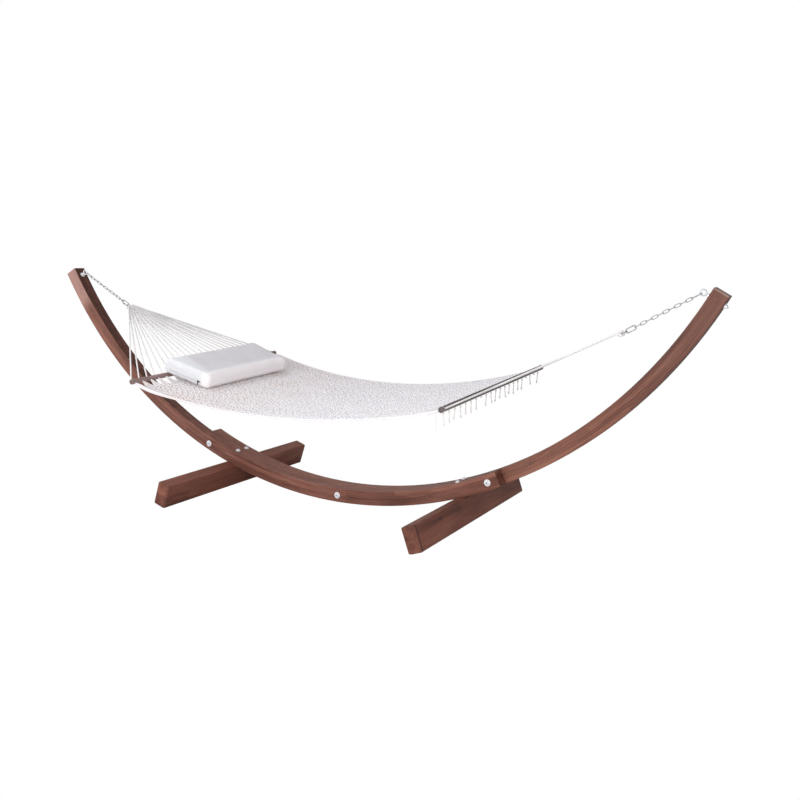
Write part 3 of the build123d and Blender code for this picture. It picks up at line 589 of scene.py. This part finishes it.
def rope_mesh(name, lines, radii, sides, strands=0, lay=1.0, groove=0.16):
    """One mesh of round or twisted tubes along lines of points, with turn and length as UVs.

    radii is one radius, or a function of the share of the line that gives one. With
    strands, the tube is grooved between them and they go round once in a lay's length.
    """
    vertices, faces, uvs = [], [], []
    base = 0
    turns = np.arange(sides) / sides
    for line in lines:
        points = np.asarray(line, float)
        first, second = cross_frames(points)
        reach = distance_along(points)
        share = reach / reach[-1]
        if callable(radii):
            radius = np.array([radii(t) for t in share])
        else:
            radius = np.full(len(points), radii)
        angle = 2 * pi * turns[None, :]
        if strands:
            wind = strands * (turns[None, :] + reach[:, None] / lay)
            ridge = np.abs(np.cos(pi * (wind - 0.5)))
            swell = 1.0 - groove + groove * ridge
        else:
            swell = np.ones((len(points), sides))
        out = first[:, None, :] * np.cos(angle)[:, :, None]
        out = out + second[:, None, :] * np.sin(angle)[:, :, None]
        rings = points[:, None, :] + out * (radius[:, None] * swell)[:, :, None]
        vertices.append(rings.reshape(-1, 3))
        count = len(points)
        for ring in range(count - 1):
            low, high = base + ring * sides, base + (ring + 1) * sides
            v0, v1 = reach[ring], reach[ring + 1]
            for side in range(sides):
                after = (side + 1) % sides
                faces.append((low + side, low + after, high + after, high + side))
                u0, u1 = side / sides, (side + 1) / sides
                uvs.extend((u0, v0, u1, v0, u1, v1, u0, v1))
        faces.append(tuple(base + side for side in reversed(range(sides))))
        uvs.extend((0.5, reach[0]) * sides)
        faces.append(tuple(base + (count - 1) * sides + side for side in range(sides)))
        uvs.extend((0.5, reach[-1]) * sides)
        base += count * sides
    mesh = bpy.data.meshes.new(name)
    mesh.from_pydata(np.concatenate(vertices), [], faces)
    layer = mesh.uv_layers.new(name="along")
    layer.data.foreach_set("uv", np.array(uvs, np.float32))
    mesh.shade_smooth()
    return add_piece(name, mesh)


def even_line(points, spacing):
    """Points resampled at an even spacing along straight runs."""
    points = np.asarray([tuple(point) for point in points], float)
    reach = distance_along(points)
    count = max(2, ceil(reach[-1] / spacing) + 1)
    where = np.linspace(0, reach[-1], count)
    return np.stack([np.interp(where, reach, points[:, axis]) for axis in range(3)], axis=1)


def spline_line(points):
    """The line of the NURBS spline through a route, as Blender evaluates it."""
    data = bpy.data.curves.new("route", "CURVE")
    data.dimensions = "3D"
    data.resolution_u = 12
    spline = data.splines.new("NURBS")
    spline.points.add(len(points) - 1)
    for control, point in zip(spline.points, points):
        control.co = (*point, 1)
    spline.order_u = 3
    spline.use_endpoint_u = True
    holder = add_piece("route", data)
    bpy.context.view_layer.update()
    mesh = bpy.data.meshes.new_from_object(holder)
    line = np.array([tuple(vertex.co) for vertex in mesh.vertices])
    bpy.data.objects.remove(holder)
    bpy.data.meshes.remove(mesh)
    bpy.data.curves.remove(data)
    return line


def soften(points, spacing, passes=2):
    """Even points along a line, with the corners eased."""
    line = even_line(points, spacing)
    for _ in range(passes):
        line[1:-1] = line[1:-1] * 0.5 + (line[:-2] + line[2:]) * 0.25
    return line


def dress(piece, material, body, slot, *nodes):
    """Gives a piece its material, its body and the CAD nodes it stands for; its slot is not used."""
    piece.data.materials.clear()
    piece.data.materials.append(material)
    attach(piece, body)
    if nodes:
        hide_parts(*nodes)


# ---- where the hammock's parts are
SIDE_NAMES = {-1: "left", 1: "right"}
bar_axes = {side: Vector((0, cos(tilt), sin(tilt))) for side, tilt in BAR_TILTS.items()}


def middle_of(node):
    low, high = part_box(node)
    return (low + high) / 2


bar_centres = {side: middle_of(f"{name}_spreader_bar") for side, name in SIDE_NAMES.items()}
ring_centres = {side: middle_of(f"{name}_clew_ring") for side, name in SIDE_NAMES.items()}
rope_step = ROPE_SPAN / (ROPE_COUNT - 1)
rope_offsets = [-ROPE_SPAN / 2 + rope_step * index for index in range(ROPE_COUNT)]


def hole_direction(side):
    """From the bed side of a bar's hole out to its clew side."""
    upright = Vector((1, 0, 0)).cross(bar_axes[side])
    return Vector((side, 0, 0)) * cos(HOLE_PITCH) + upright * sin(HOLE_PITCH)


def bed_height(x, y):
    tilt = BED_TILT_MIDDLE + BED_TILT_RATE * x * x
    return BED_LOW_Z + BED_SAG_RATE * (x - BED_LOW_X) ** 2 + tilt * y


# ---- clew ropes
def clew_line(side, index, offset, at_neck):
    """A rope from its eye round the ring's wire, out to the bar and through its hole."""
    ring, bar = ring_centres[side], bar_centres[side]
    to_bar = (bar - ring).normalized()
    axis = bar_axes[side]
    across = (axis - to_bar * axis.dot(to_bar)).normalized()
    normal = to_bar.cross(across).normalized()
    if normal.z < 0:
        normal = -normal
    share = 2 * index / (ROPE_COUNT + 1) - 1
    angle = CLEW_FAN_ANGLE * share
    outward = to_bar * cos(angle) + across * sin(angle)
    wire = ring + outward * RING_RADIUS
    layer = RING_WIRE + CLEW_ROPE_RADIUS * (1.1 if index % 2 else 1.9)
    points = [wire + outward * 0.016 - normal * (CLEW_ROPE_RADIUS * 0.6)]
    for turn in range(CLEW_EYE_TURNS + 1):
        a = radians(-90 - 180 * turn / CLEW_EYE_TURNS)
        points.append(wire + (outward * cos(a) + normal * sin(a)) * layer)
    out = hole_direction(side)
    middle = bar + axis * offset
    if at_neck:
        points.append(middle + out * (NECK_RADIUS + 0.006))
        return points
    points.append(middle + out * (BAR_RADIUS + 0.005))
    points.append(middle + out * BAR_RADIUS * 0.6)
    points.append(middle - out * (BAR_RADIUS + 0.002))
    return points


def build_clews(materials):
    offsets = [-NECK_OFFSET, *rope_offsets, NECK_OFFSET]
    for side, name in SIDE_NAMES.items():
        lines = []
        for index, offset in enumerate(offsets):
            at_neck = index in (0, len(offsets) - 1)
            lines.append(soften(clew_line(side, index, offset, at_neck), 0.0035))
        ropes = rope_mesh(f"{name}_clew_rope_fan", lines, CLEW_ROPE_RADIUS, 9, 3, 0.022)
        dress(ropes, materials[side], "hammock", "white_rope", f"{name}_clew_ropes")


# ---- rope bed
def unevenness(seed, x):
    """A steady small irregularity of hand-made net, in metres."""
    return 0.0011 * (sin(47.0 * x + 2.3 * seed) + sin(83.0 * x + 5.1 * seed + 1.0) * 0.7)


def net_line(number):
    """One rope of the bed: it swings between its two neighbours and hooks round each."""
    points = []
    count = NET_HALF_CELLS * NET_STEPS_PER_HALF_CELL
    spacing = rope_step / NET_LINES_PER_HOLE
    way = 1 if number % 2 else -1
    centre = rope_offsets[0] + spacing * (number - (NET_LINES_PER_HOLE - 1) / 2)
    swing = spacing / 2 + NET_ROPE_RADIUS * 0.35
    seed = number * 1.9
    slip = 0.8 * sin(2.4 * number) + 0.4 * sin(1.1 * number + 1.0)
    limit = BED_HALF_WIDTH + 0.001
    for index in range(count + 1):
        x = BED_LEFT_X + (BED_RIGHT_X - BED_LEFT_X) * index / count
        phase = index / NET_STEPS_PER_HALF_CELL + slip + 0.35 * sin(9.0 * x + 1.7 * number)
        fold = asin(NET_BEND_SHARPNESS * cos(pi * phase)) / asin(NET_BEND_SHARPNESS)
        y = centre + way * swing * fold + unevenness(seed, x)
        y = max(-limit, min(limit, y))
        lift = way * NET_ROPE_RADIUS * 0.45 * sin(2 * pi * phase) + unevenness(seed + 9, x) * 0.6
        points.append((x, y, bed_height(x, y) + lift))
    return points


def lacing_radius(share):
    """The lacing thickens from the bar to the bed, where it becomes the net's soft rope."""
    return LACING_RADIUS + (NET_ROPE_RADIUS - LACING_RADIUS) * share


def lacing_lines(side):
    """Strands that fan out from each hole of a bar to the bed's end."""
    axis = bar_axes[side]
    out = hole_direction(side)
    last_x = (BED_LEFT_X if side < 0 else BED_RIGHT_X) - side * 0.004
    lines = []
    for hole, offset in enumerate(rope_offsets):
        mouth = bar_centres[side] + axis * offset - out * (BAR_RADIUS + 0.001)
        for strand in LACING_STRANDS:
            start = mouth + axis * (strand * 0.0012)
            last_y = offset + strand * rope_step / 4
            last = Vector((last_x, last_y, bed_height(last_x, last_y)))
            sag = Vector((0, 0, 0.004 + 0.003 * sin(5.0 * hole + 2.0 * strand)))
            lines.append(soften([start, (start + last) / 2 - sag, last], 0.004))
    return lines


def build_bed(material):
    lines = [net_line(number) for number in range(ROPE_COUNT * NET_LINES_PER_HOLE)]
    net = rope_mesh("rope_net", lines, NET_ROPE_RADIUS, 7)
    dress(net, material, "hammock", "net_rope", "bed")
    for side, name in SIDE_NAMES.items():
        lacing = rope_mesh(f"{name}_lacing_ropes", lacing_lines(side), lacing_radius, 9, 3, 0.022)
        dress(lacing, material, "hammock", "white_rope", f"{name}_bed_lacing")


def neck_point(side, way):
    """Where a selvedge rope meets the loops on a bar's neck, on the bed side."""
    middle = bar_centres[side] + bar_axes[side] * (way * NECK_OFFSET)
    return middle - hole_direction(side) * (NECK_RADIUS + 0.006)


def selvedge_radius(share):
    """The edge rope is thickest just after the left bar and thins over the binding's reach."""
    rise = min(1.0, share / 0.02)
    fall = max(0.0, 1 - share / EDGE_BINDING_REACH)
    return EDGE_ROPE_RADIUS * (1 + EDGE_BINDING_THICKNESS * rise * fall)


def build_selvedges(material):
    for way, name in ((-1, "near"), (1, "far")):
        y = way * (BED_HALF_WIDTH + 0.0046)
        route = [neck_point(-1, way)]
        for index in range(EDGE_RUNS + 1):
            x = BED_LEFT_X + (BED_RIGHT_X - BED_LEFT_X) * index / EDGE_RUNS
            route.append(Vector((x, y, bed_height(x, y))))
        route.append(neck_point(1, way))
        line = soften(spline_line(route), 0.006)
        rope = rope_mesh(f"{name}_selvedge", [line], selvedge_radius, 12, 3, 0.034, 0.2)
        dress(rope, material, "hammock", "white_rope", f"{name}_edge_rope")


def neck_loop_line(side, way):
    """Two turns and a little more of rope round a bar's neck."""
    axis = bar_axes[side]
    middle = bar_centres[side] + axis * (way * NECK_OFFSET)
    flat = Vector((1, 0, 0))
    up = axis.cross(flat).normalized()
    line = []
    for index in range(NECK_LOOP_STEPS + 1):
        share = index / NECK_LOOP_STEPS
        a = 2 * pi * NECK_LOOP_TURNS * share
        slide = (share - 0.5) * NECK_LOOP_TRAVEL
        reach = NECK_RADIUS + NECK_LOOP_RADIUS
        line.append(middle + (flat * cos(a) + up * sin(a)) * reach + axis * slide)
    return line


def build_neck_loops(material):
    lines = [neck_loop_line(side, way) for side in SIDE_NAMES for way in (-1, 1)]
    loops = rope_mesh("bar_neck_loops", lines, NECK_LOOP_RADIUS, 9, 3, 0.018)
    dress(loops, material, "hammock", "white_rope", "neck_loops")


# ---- knots and tails
knot_offsets = [-NECK_OFFSET, *rope_offsets]
tail_offsets = [-NECK_OFFSET]
for hole, offset in enumerate(rope_offsets):
    if hole not in TRIMMED_HOLES:
        tail_offsets.append(offset)


def knot_point(offset):
    middle = bar_centres[1] + bar_axes[1] * offset
    seat = NECK_LOOP_REACH if abs(offset) > ROPE_SPAN / 2 + 0.001 else BAR_RADIUS
    below = seat + KNOT_RADIUS + 0.0003
    return Vector((bar_centres[1].x + KNOT_SHIFT, middle.y, middle.z - below))


def knot_line(index, offset):
    """A small overhand knot at the top of a tail."""
    centre = knot_point(offset)
    line = []
    for step in range(KNOT_STEPS + 1):
        t = 2 * pi * step / KNOT_STEPS + 0.4 * index
        spot = Vector((sin(t) + 2 * sin(2 * t), cos(t) - 2 * cos(2 * t), -2.2 * sin(3 * t)))
        line.append(centre + spot * KNOT_SCALE)
    return line


def build_knots(material):
    lines = [knot_line(index, offset) for index, offset in enumerate(knot_offsets)]
    knots = rope_mesh("rope_knots", lines, KNOT_STRING_RADIUS, 8)
    dress(knots, material, "hammock", "white_rope", "bar_knots")


def tail_route(index, offset):
    top = knot_point(offset) - Vector((0, 0, KNOT_RADIUS + TAIL_GAP))
    lean_x = 0.005 * sin(2.4 * index + 0.6)
    lean_y = 0.006 * sin(1.7 * index + 1.1)
    length = TAIL_LENGTH * (1 + TAIL_LENGTH_SPREAD * sin(3.1 * index))
    route = []
    for step in range(TAIL_STEPS + 1):
        share = step / TAIL_STEPS
        bow = share * share
        wave = 0.0006 * sin(3 * share + index)
        route.append(top + Vector((lean_x * bow, lean_y * bow + wave, -length * share)))
    return route


def tail_radius(share):
    """Even rope, then a small end knot, then the frayed tip."""
    knot = 0.0021 * max(0.0, 1 - ((share - 0.86) / 0.07) ** 2)
    fray = 0.0009 * max(0.0, (share - 0.93) / 0.07)
    return TAIL_RADIUS + knot + fray


def corner_route():
    """The string's points, from where it leaves the bar's neck down to its cut end."""
    neck = bar_centres[1] - bar_axes[1] * NECK_OFFSET
    top = neck + Vector((-CORNER_TAIL_INSET, 0.002, -CORNER_TAIL_DROP))
    route = []
    for step, (lean_x, lean_y) in enumerate(CORNER_TAIL_LEANS):
        drop = CORNER_TAIL_LENGTH * step / (len(CORNER_TAIL_LEANS) - 1)
        route.append(top + Vector((lean_x, lean_y, -drop)))
    return route


def hang_cord(name, route, material, nodes, radii, sides, strands, lay):
    """A rope that hangs free along a route."""
    line = spline_line(route)
    cord = rope_mesh(name, [soften(line, 0.002, 1)], radii, sides, strands, lay, 0.2)
    dress(cord, material, "hammock", "white_rope", *nodes)


def build_tails(material):
    for index, offset in enumerate(tail_offsets):
        name, route = f"rope_tail_{index:02d}", tail_route(index, offset)
        nodes = () if index else ("rope_tails",)
        hang_cord(name, route, material, nodes, tail_radius, 9, 3, 0.016)
    name, route = "corner_string", corner_route()
    nodes = ("corner_tail",)
    hang_cord(name, route, material, nodes, CORNER_TAIL_RADIUS, 8, 2, 0.012)


# ---- pillow
pillow_along = Vector((0, cos(PILLOW_TILT), sin(PILLOW_TILT)))
pillow_down = Vector((cos(PILLOW_PITCH), 0, -sin(PILLOW_PITCH)))
pillow_down = (pillow_down - pillow_along * pillow_down.dot(pillow_along)).normalized()
pillow_up = pillow_down.cross(pillow_along)
PILLOW_FRAME = placed_axes(pillow_down, pillow_along, pillow_up, PILLOW_PLACE)


def pillow_fabric():
    """Plain woven cotton with soft creases, and painted light: a paler near end, sides paler than the top,
    and a paler front.
    """
    s = Shader("pillow_cotton")
    local = s.new("VectorRotate")
    local.rotation_type = "EULER_XYZ"
    local.inputs["Rotation"].default_value = PILLOW_FRAME.to_3x3().inverted().to_euler()
    s.put(local.inputs["Vector"], s.place())
    place = local.outputs[0]
    x, y, z = s.split(place)
    thread = 2 * pi / 0.0012
    warp, weft, rise = (s.math("SINE", s.times(part, thread)) for part in (x, y, z))
    weave = s.weigh((warp, weft), (rise, s.plus(warp, weft)))
    soft = s.noise(place, 9.0, 4.0)
    slub = s.noise(s.vector("MULTIPLY", place, (60.0, 900.0, 60.0)), 1.0, 2.0)
    colour = s.mix(s.step(soft, 0.3, 0.7), (0.635, 0.615, 0.650), (0.690, 0.670, 0.705))
    from_middle = s.minus(x, pillow_down.dot(Vector(PILLOW_PLACE)))
    from_centre = s.minus(y, pillow_along.dot(Vector(PILLOW_PLACE)))
    towards_end = s.plus(from_centre, s.times(from_middle, 0.31))
    # Painted light: the near end is paler.
    colour = s.mix(s.step(towards_end, -0.295, -0.240, 1.0, 0.0), colour, (0.79, 0.80, 0.82))
    # Painted light: the sides are paler than the top.
    facing = s.vector("DOT_PRODUCT", s.normal(), tuple(pillow_up))
    colour = s.mix(s.step(facing, 0.45, 0.97, 1.0, 0.0), colour, (0.720, 0.725, 0.745))
    colour = s.mix(s.step(slub, 0.55, 0.8, 0.0, 0.25), colour, (0.66, 0.64, 0.67))
    # Painted light: the front face is paler and warmer.
    colour = s.mix(s.step(from_middle, 0.08, 0.145, 0.0, 1.0), colour, (0.985, 0.940, 0.950))
    s.set(Base_Color=colour, Roughness=0.88, Specular_IOR_Level=0.2)
    s.set(Sheen_Weight=0.25, Sheen_Roughness=0.45)
    crease = s.noise(s.vector("MULTIPLY", place, (14.0, 7.0, 20.0)), 1.0, 3.0)
    s.bump(s.weigh((weave, 0.03), (crease, 1.2)), 0.5, 0.004)
    return s.material


def rounded_block(name, size, radius, spacing):
    """A box with rounded edges and an even mesh."""
    mesh = bpy.data.meshes.new(name)
    shape = bmesh.new()
    bmesh.ops.create_cube(shape, size=1.0)
    bmesh.ops.scale(shape, vec=size, verts=shape.verts)
    bmesh.ops.bevel(shape, geom=shape.edges[:], offset=radius, segments=5, profile=0.5, affect="EDGES")
    shape.to_mesh(mesh)
    shape.free()
    block = add_piece(name, mesh)
    bpy.context.view_layer.objects.active = block
    remesh = block.modifiers.new("even", "REMESH")
    remesh.mode = "VOXEL"
    remesh.voxel_size = spacing
    bake(block)
    return block


def bake(piece):
    """Turns a piece's modifiers into its own mesh."""
    graph = bpy.context.evaluated_depsgraph_get()
    made = bpy.data.meshes.new_from_object(piece.evaluated_get(graph))
    piece.modifiers.clear()
    old = piece.data
    piece.data = made
    bpy.data.meshes.remove(old)


def vertex_array(mesh):
    flat = np.zeros(len(mesh.vertices) * 3)
    mesh.vertices.foreach_get("co", flat)
    return flat.reshape(-1, 3)


def move_vertices(mesh, points):
    mesh.vertices.foreach_set("co", points.ravel())
    mesh.update()


def inflate(piece, cap):
    """Cloth with air pressure, with each point's travel capped."""
    last_frame = 20
    rest = vertex_array(piece.data)
    cloth = piece.modifiers.new("swell", "CLOTH")
    settings = cloth.settings
    settings.quality = 5
    settings.mass = 0.3
    settings.tension_stiffness = 18
    settings.compression_stiffness = 10
    settings.bending_stiffness = 0.8
    settings.use_pressure = True
    settings.uniform_pressure_force = 4.0
    settings.effector_weights.gravity = 0.0
    scene = bpy.context.scene
    scene.frame_start, scene.frame_end = 1, last_frame
    cloth.point_cache.frame_start, cloth.point_cache.frame_end = 1, last_frame
    for number in range(1, last_frame + 1):
        scene.frame_set(number)
    graph = bpy.context.evaluated_depsgraph_get()
    moved = bpy.data.meshes.new_from_object(piece.evaluated_get(graph))
    after = vertex_array(moved)
    bpy.data.meshes.remove(moved)
    piece.modifiers.clear()
    scene.frame_set(1)
    travel = after - rest
    length = np.linalg.norm(travel, axis=1)
    scale = np.minimum(1.0, cap / np.maximum(length, 1e-9))
    move_vertices(piece.data, rest + travel * scale[:, None])


def settle(piece):
    """The underside lies flat, and the long sides pull in a little between the corners."""
    points = vertex_array(piece.data)
    half = PILLOW_THICKNESS / 2 - 0.001
    points[:, 2] = np.clip(points[:, 2], -half, half)
    between = 1 - (points[:, 1] / (PILLOW_LENGTH / 2)) ** 2
    points[:, 0] *= 1 - 0.012 * between
    points[:, 1] *= 1 - PILLOW_TAPER * points[:, 0] / (PILLOW_WIDTH / 2)
    points[:, 2] += 0.0010 * np.sin(points[:, 1] * 31 + points[:, 0] * 17) * (points[:, 2] > 0)
    limit = (PILLOW_WIDTH / 2 + 0.003, PILLOW_LENGTH / 2 + 0.027)
    for axis in range(2):
        points[:, axis] = np.clip(points[:, axis], -limit[axis], limit[axis])
    move_vertices(piece.data, points)


def pillow_outline():
    """Points round the pillow's plan, with rounded corners, and their outward directions."""
    corner, per_side = PILLOW_CORNER, 24
    half_x, half_y = PILLOW_WIDTH / 2 - corner, PILLOW_LENGTH / 2 - corner
    corners = [(half_x, -half_y, -90), (half_x, half_y, 0), (-half_x, half_y, 90), (-half_x, -half_y, 180)]
    spots = []
    for index, (x, y, start) in enumerate(corners):
        for step in range(9):
            a = radians(start + 90 * step / 8)
            spots.append((x + corner * cos(a), y + corner * sin(a), cos(a), sin(a)))
        next_x, next_y, _ = corners[(index + 1) % 4]
        out_x, out_y = cos(radians(start + 90)), sin(radians(start + 90))
        for step in range(1, per_side):
            t = step / per_side
            side_x, side_y = x + (next_x - x) * t, y + (next_y - y) * t
            spots.append((side_x + corner * out_x, side_y + corner * out_y, out_x, out_y))
    return spots


def on_cover(tree, origin, aim, proud):
    """A point just proud of the cover: where a ray meets it, or the nearest if it passes by."""
    start, way = Vector(origin), Vector(aim).normalized()
    hit = tree.ray_cast(start, way)[0]
    found = tree.find_nearest(start)[0] if hit is None else hit
    return PILLOW_FRAME @ (found - way * proud)


def on_near_end(tree, x, lift, proud):
    """A point on the pillow's near end, so far above the zip's middle line."""
    return on_cover(tree, (x, -0.48, lift - ZIP_DROP), (0, 1, 0), proud)


def wadding_fluff():
    s = Shader("wadding_fluff")
    cloud = s.noise(s.place(), 60.0, 4.0)
    s.set(Base_Color=s.mix(cloud, (0.80, 0.80, 0.80), (0.95, 0.95, 0.95)), Roughness=1.0)
    s.bump(cloud, 0.6, 0.003)
    return s.material


def tape_weave():
    s = Shader("zip_tape_weave")
    ribs = s.noise(s.vector("MULTIPLY", s.place(), (1500.0, 300.0, 1500.0)), 1.0, 2.0)
    s.set(Base_Color=s.mix(ribs, (0.60, 0.60, 0.63), (0.78, 0.78, 0.80)), Roughness=0.85)
    s.bump(ribs, 0.4, 0.0003)
    return s.material


def slider_enamel():
    s = Shader("slider_enamel")
    chips = s.noise(s.place(), 700.0, 3.0)
    s.set(Base_Color=s.mix(s.step(chips, 0.6, 0.75), (0.035, 0.033, 0.040), (0.25, 0.24, 0.25)))
    s.set(Metallic=0.4, Roughness=0.42)
    s.bump(chips, 0.1, 0.0002)
    return s.material


def build_cover_and_wadding(fabric):
    """The stuffed cover with its wadding, and a search tree of the cover before smoothing."""
    extents = (PILLOW_WIDTH, PILLOW_LENGTH, PILLOW_THICKNESS)
    size = tuple(extent - 2 * PILLOW_MARGIN for extent in extents)
    cover = rounded_block("pillow_cotton_cover", size, PILLOW_EDGE_RADIUS, PILLOW_MESH_SPACING)
    inflate(cover, PILLOW_SWELL)
    settle(cover)
    tree = BVHTree.FromObject(cover, bpy.context.evaluated_depsgraph_get())
    wadding = add_piece("pillow_wadding", cover.data.copy())
    move_vertices(wadding.data, vertex_array(wadding.data) * np.array((0.955, 0.978, 0.86)))
    cover.modifiers.new("smooth", "SUBSURF").levels = 1
    bake(cover)
    for piece in (cover, wadding):
        piece.data.transform(PILLOW_FRAME)
        piece.data.shade_smooth()
    dress(cover, fabric, "pillow", "pillow_fabric", "pillow_cover")
    dress(wadding, wadding_fluff(), "pillow", "pillow_filling", "pillow_filling")
    return tree


def build_welts(tree, fabric):
    """Piping along the upper and the lower edge."""
    outline = pillow_outline()
    seams = []
    for level in (-1, 1):
        height = PILLOW_THICKNESS / 2 * level + 0.0225 * level
        line = []
        for x, y, out_x, out_y in [*outline, outline[0]]:
            origin = (x + out_x * 0.05, y + out_y * 0.05, height)
            line.append(on_cover(tree, origin, (-out_x, -out_y, -0.9 * level), 0.0004))
        seams.append(soften(line, 0.004, 3))
    welt = rope_mesh("pillow_welts", seams, WELT_RADIUS, 7)
    dress(welt, fabric, "pillow", "pillow_fabric")


def build_zip_tape(tree, weave):
    points = []
    for index in range(ZIP_TAPE_STEPS + 1):
        x = -ZIP_HALF_LENGTH + 2 * ZIP_HALF_LENGTH * index / ZIP_TAPE_STEPS
        for lane in ZIP_TAPE_LANES:
            points.append(on_near_end(tree, x, lane, 0.0009))
    across = len(ZIP_TAPE_LANES)
    faces = []
    for index in range(ZIP_TAPE_STEPS):
        for lane in range(across - 1):
            a = index * across + lane
            faces.append((a, a + across, a + across + 1, a + 1))
    mesh = bpy.data.meshes.new("zip_tape")
    mesh.from_pydata(points, [], faces)
    tape = add_piece("zip_tape", mesh)
    tape.modifiers.new("thick", "SOLIDIFY").thickness = ZIP_TAPE_THICKNESS
    bake(tape)
    tape.data.shade_smooth()
    dress(tape, weave, "pillow", "zip_tape", "pillow_zip")


def build_zip_coil(tree, weave):
    """The closed teeth: a flattened coil along the tape."""
    reach = ZIP_HALF_LENGTH - 0.004
    steps = ZIP_COIL_TURNS * ZIP_COIL_STEPS
    line = []
    for index in range(steps + 1):
        x = -reach + 2 * reach * index / steps
        a = 2 * pi * index / ZIP_COIL_STEPS
        turn = pillow_up * sin(a) * 1.3 - pillow_along * cos(a) * 0.6
        line.append(on_near_end(tree, x, 0.0, 0.0018) + turn * ZIP_COIL_RADIUS)
    coil = rope_mesh("zip_coil", [line], 0.00035, 5)
    dress(coil, weave, "pillow", "zip_tape")


def build_slider(tree):
    """Zip slider: a waisted body with a bridge and a hanging pull tab."""
    seat = on_near_end(tree, ZIP_HALF_LENGTH - 0.016, 0.0, 0.0026)
    shape = bmesh.new()

    def lump(centre, size, bevel):
        corners = bmesh.ops.create_cube(shape, size=1.0)["verts"]
        bmesh.ops.scale(shape, vec=size, verts=corners)
        edges = list({edge for vertex in corners for edge in vertex.link_edges})
        made = bmesh.ops.bevel(shape, geom=edges, offset=bevel, segments=2, profile=0.6, affect="EDGES")
        bmesh.ops.translate(shape, vec=centre, verts=list(set(made["verts"])))

    lump((0, 0, 0), (0.015, 0.008, 0.0028), 0.0009)
    lump((0.001, 0, 0.0024), (0.007, 0.0022, 0.0024), 0.0006)
    lump((-0.001, -0.010, 0.0030), (0.0052, 0.019, 0.0011), 0.0004)
    mesh = bpy.data.meshes.new("zip_slider_body")
    shape.to_mesh(mesh)
    shape.free()
    mesh.transform(placed_axes(pillow_down, pillow_up, -pillow_along, seat))
    mesh.shade_smooth()
    slider = add_piece("zip_slider_body", mesh)
    dress(slider, slider_enamel(), "pillow", "zip_metal", "zip_slider")


def build_pillow():
    fabric = pillow_fabric()
    tree = build_cover_and_wadding(fabric)
    build_welts(tree, fabric)
    weave = tape_weave()
    build_zip_tape(tree, weave)
    build_zip_coil(tree, weave)
    build_slider(tree)


# ---- carried-over CAD pieces
def paint(name, material):
    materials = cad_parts[name].data.materials
    materials.clear()
    materials.append(material)


def finish_cad_nodes():
    """Materials of the stand, the bars and the hardware, which keep the CAD's shapes."""
    paint("near_arc_beam", timber("near_beam_timber", "arc", -1, NEAR_BEAM_TONES, 3.1))
    paint("far_arc_beam", timber("far_beam_timber", "arc", 1, FAR_BEAM_TONES, 7.7))
    paint("left_foot", timber("left_foot_timber", "foot", -1, LEFT_FOOT_TONES, 1.3))
    paint("right_foot", timber("right_foot_timber", "foot", 1, RIGHT_FOOT_TONES, 5.9))
    paint("left_spreader_bar", timber("left_bar_wood", "bar", 1, LEFT_BAR_LIT_TONES, 2.0))
    paint("right_spreader_bar", timber("right_bar_wood", "bar", 1, RIGHT_BAR_SHADED_TONES, 4.0))
    plate = zinc("zinc_plate", (0.90, 0.90, 0.92), 0.38, 0.35)
    socketed = zinc("socketed_zinc", (0.90, 0.90, 0.92), 0.38, 0.35, socket=True)
    chain_steel = zinc("chain_zinc", (0.40, 0.405, 0.415), 0.48, 0.6)
    eye_zinc = zinc("eye_zinc", (0.60, 0.635, 0.665), 0.42, 0.5)
    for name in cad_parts:
        if name == "arc_bolts":
            paint(name, socketed)
        elif name == "right_eye_bolt":
            paint(name, eye_zinc)
        elif "bolt" in name:
            paint(name, plate)
        elif any(word in name for word in ("chain", "link", "hook", "ring")):
            paint(name, chain_steel)


place_camera()
build_studio()
finish_cad_nodes()
clew_tones = {
    "bright": (0.840, 0.820, 0.815),
    "groove_shade": (0.730, 0.710, 0.705),
    "stain": (0.800, 0.765, 0.755),
}
# Painted shade where the left clew's ropes crowd together near the ring.
left_apex_shade = ((-1.48, -1.02), (0.600, 0.590, 0.590))
# The right clew's ropes turn a darker grey towards the ring.
right_ring_grey = ((1.20, 1.42), (0.440, 0.425, 0.410))
clew_ropes = {
    -1: cotton_rope("left_clew_cotton", 0.022, grey_fade=left_apex_shade, **clew_tones),
    1: cotton_rope("right_clew_cotton", 0.022, grey_fade=right_ring_grey, **clew_tones),
}
soft_rope = cotton_rope(
    "soft_cotton_rope",
    0.030,
    bright=(0.815, 0.800, 0.830),
    groove_shade=(0.775, 0.755, 0.785),
    stain=(0.805, 0.770, 0.785),
    fuzz=0.6,
    relief=0.25,
    # Painted shade on the bed by the pillow, laid in blotches.
    grey_fade=((-0.75, 0.05), (0.75, 0.675, 0.655)),
)
# The tails' and knots' cotton in darker, browner tones: painted shade.
shaded_tail_rope = cotton_rope(
    "tail_cotton_rope",
    0.016,
    bright=(0.690, 0.655, 0.635),
    groove_shade=(0.540, 0.505, 0.485),
    stain=(0.630, 0.590, 0.570),
    relief=0.15,
)
bound_rope = cotton_rope(
    "bound_cotton_rope",
    0.018,
    bright=(0.30, 0.255, 0.245),
    groove_shade=(0.16, 0.13, 0.12),
    stain=(0.26, 0.22, 0.21),
)
build_tails(shaded_tail_rope)
build_clews(clew_ropes)
build_bed(soft_rope)
build_selvedges(soft_rope)
build_neck_loops(bound_rope)
build_knots(shaded_tail_rope)
build_pillow()
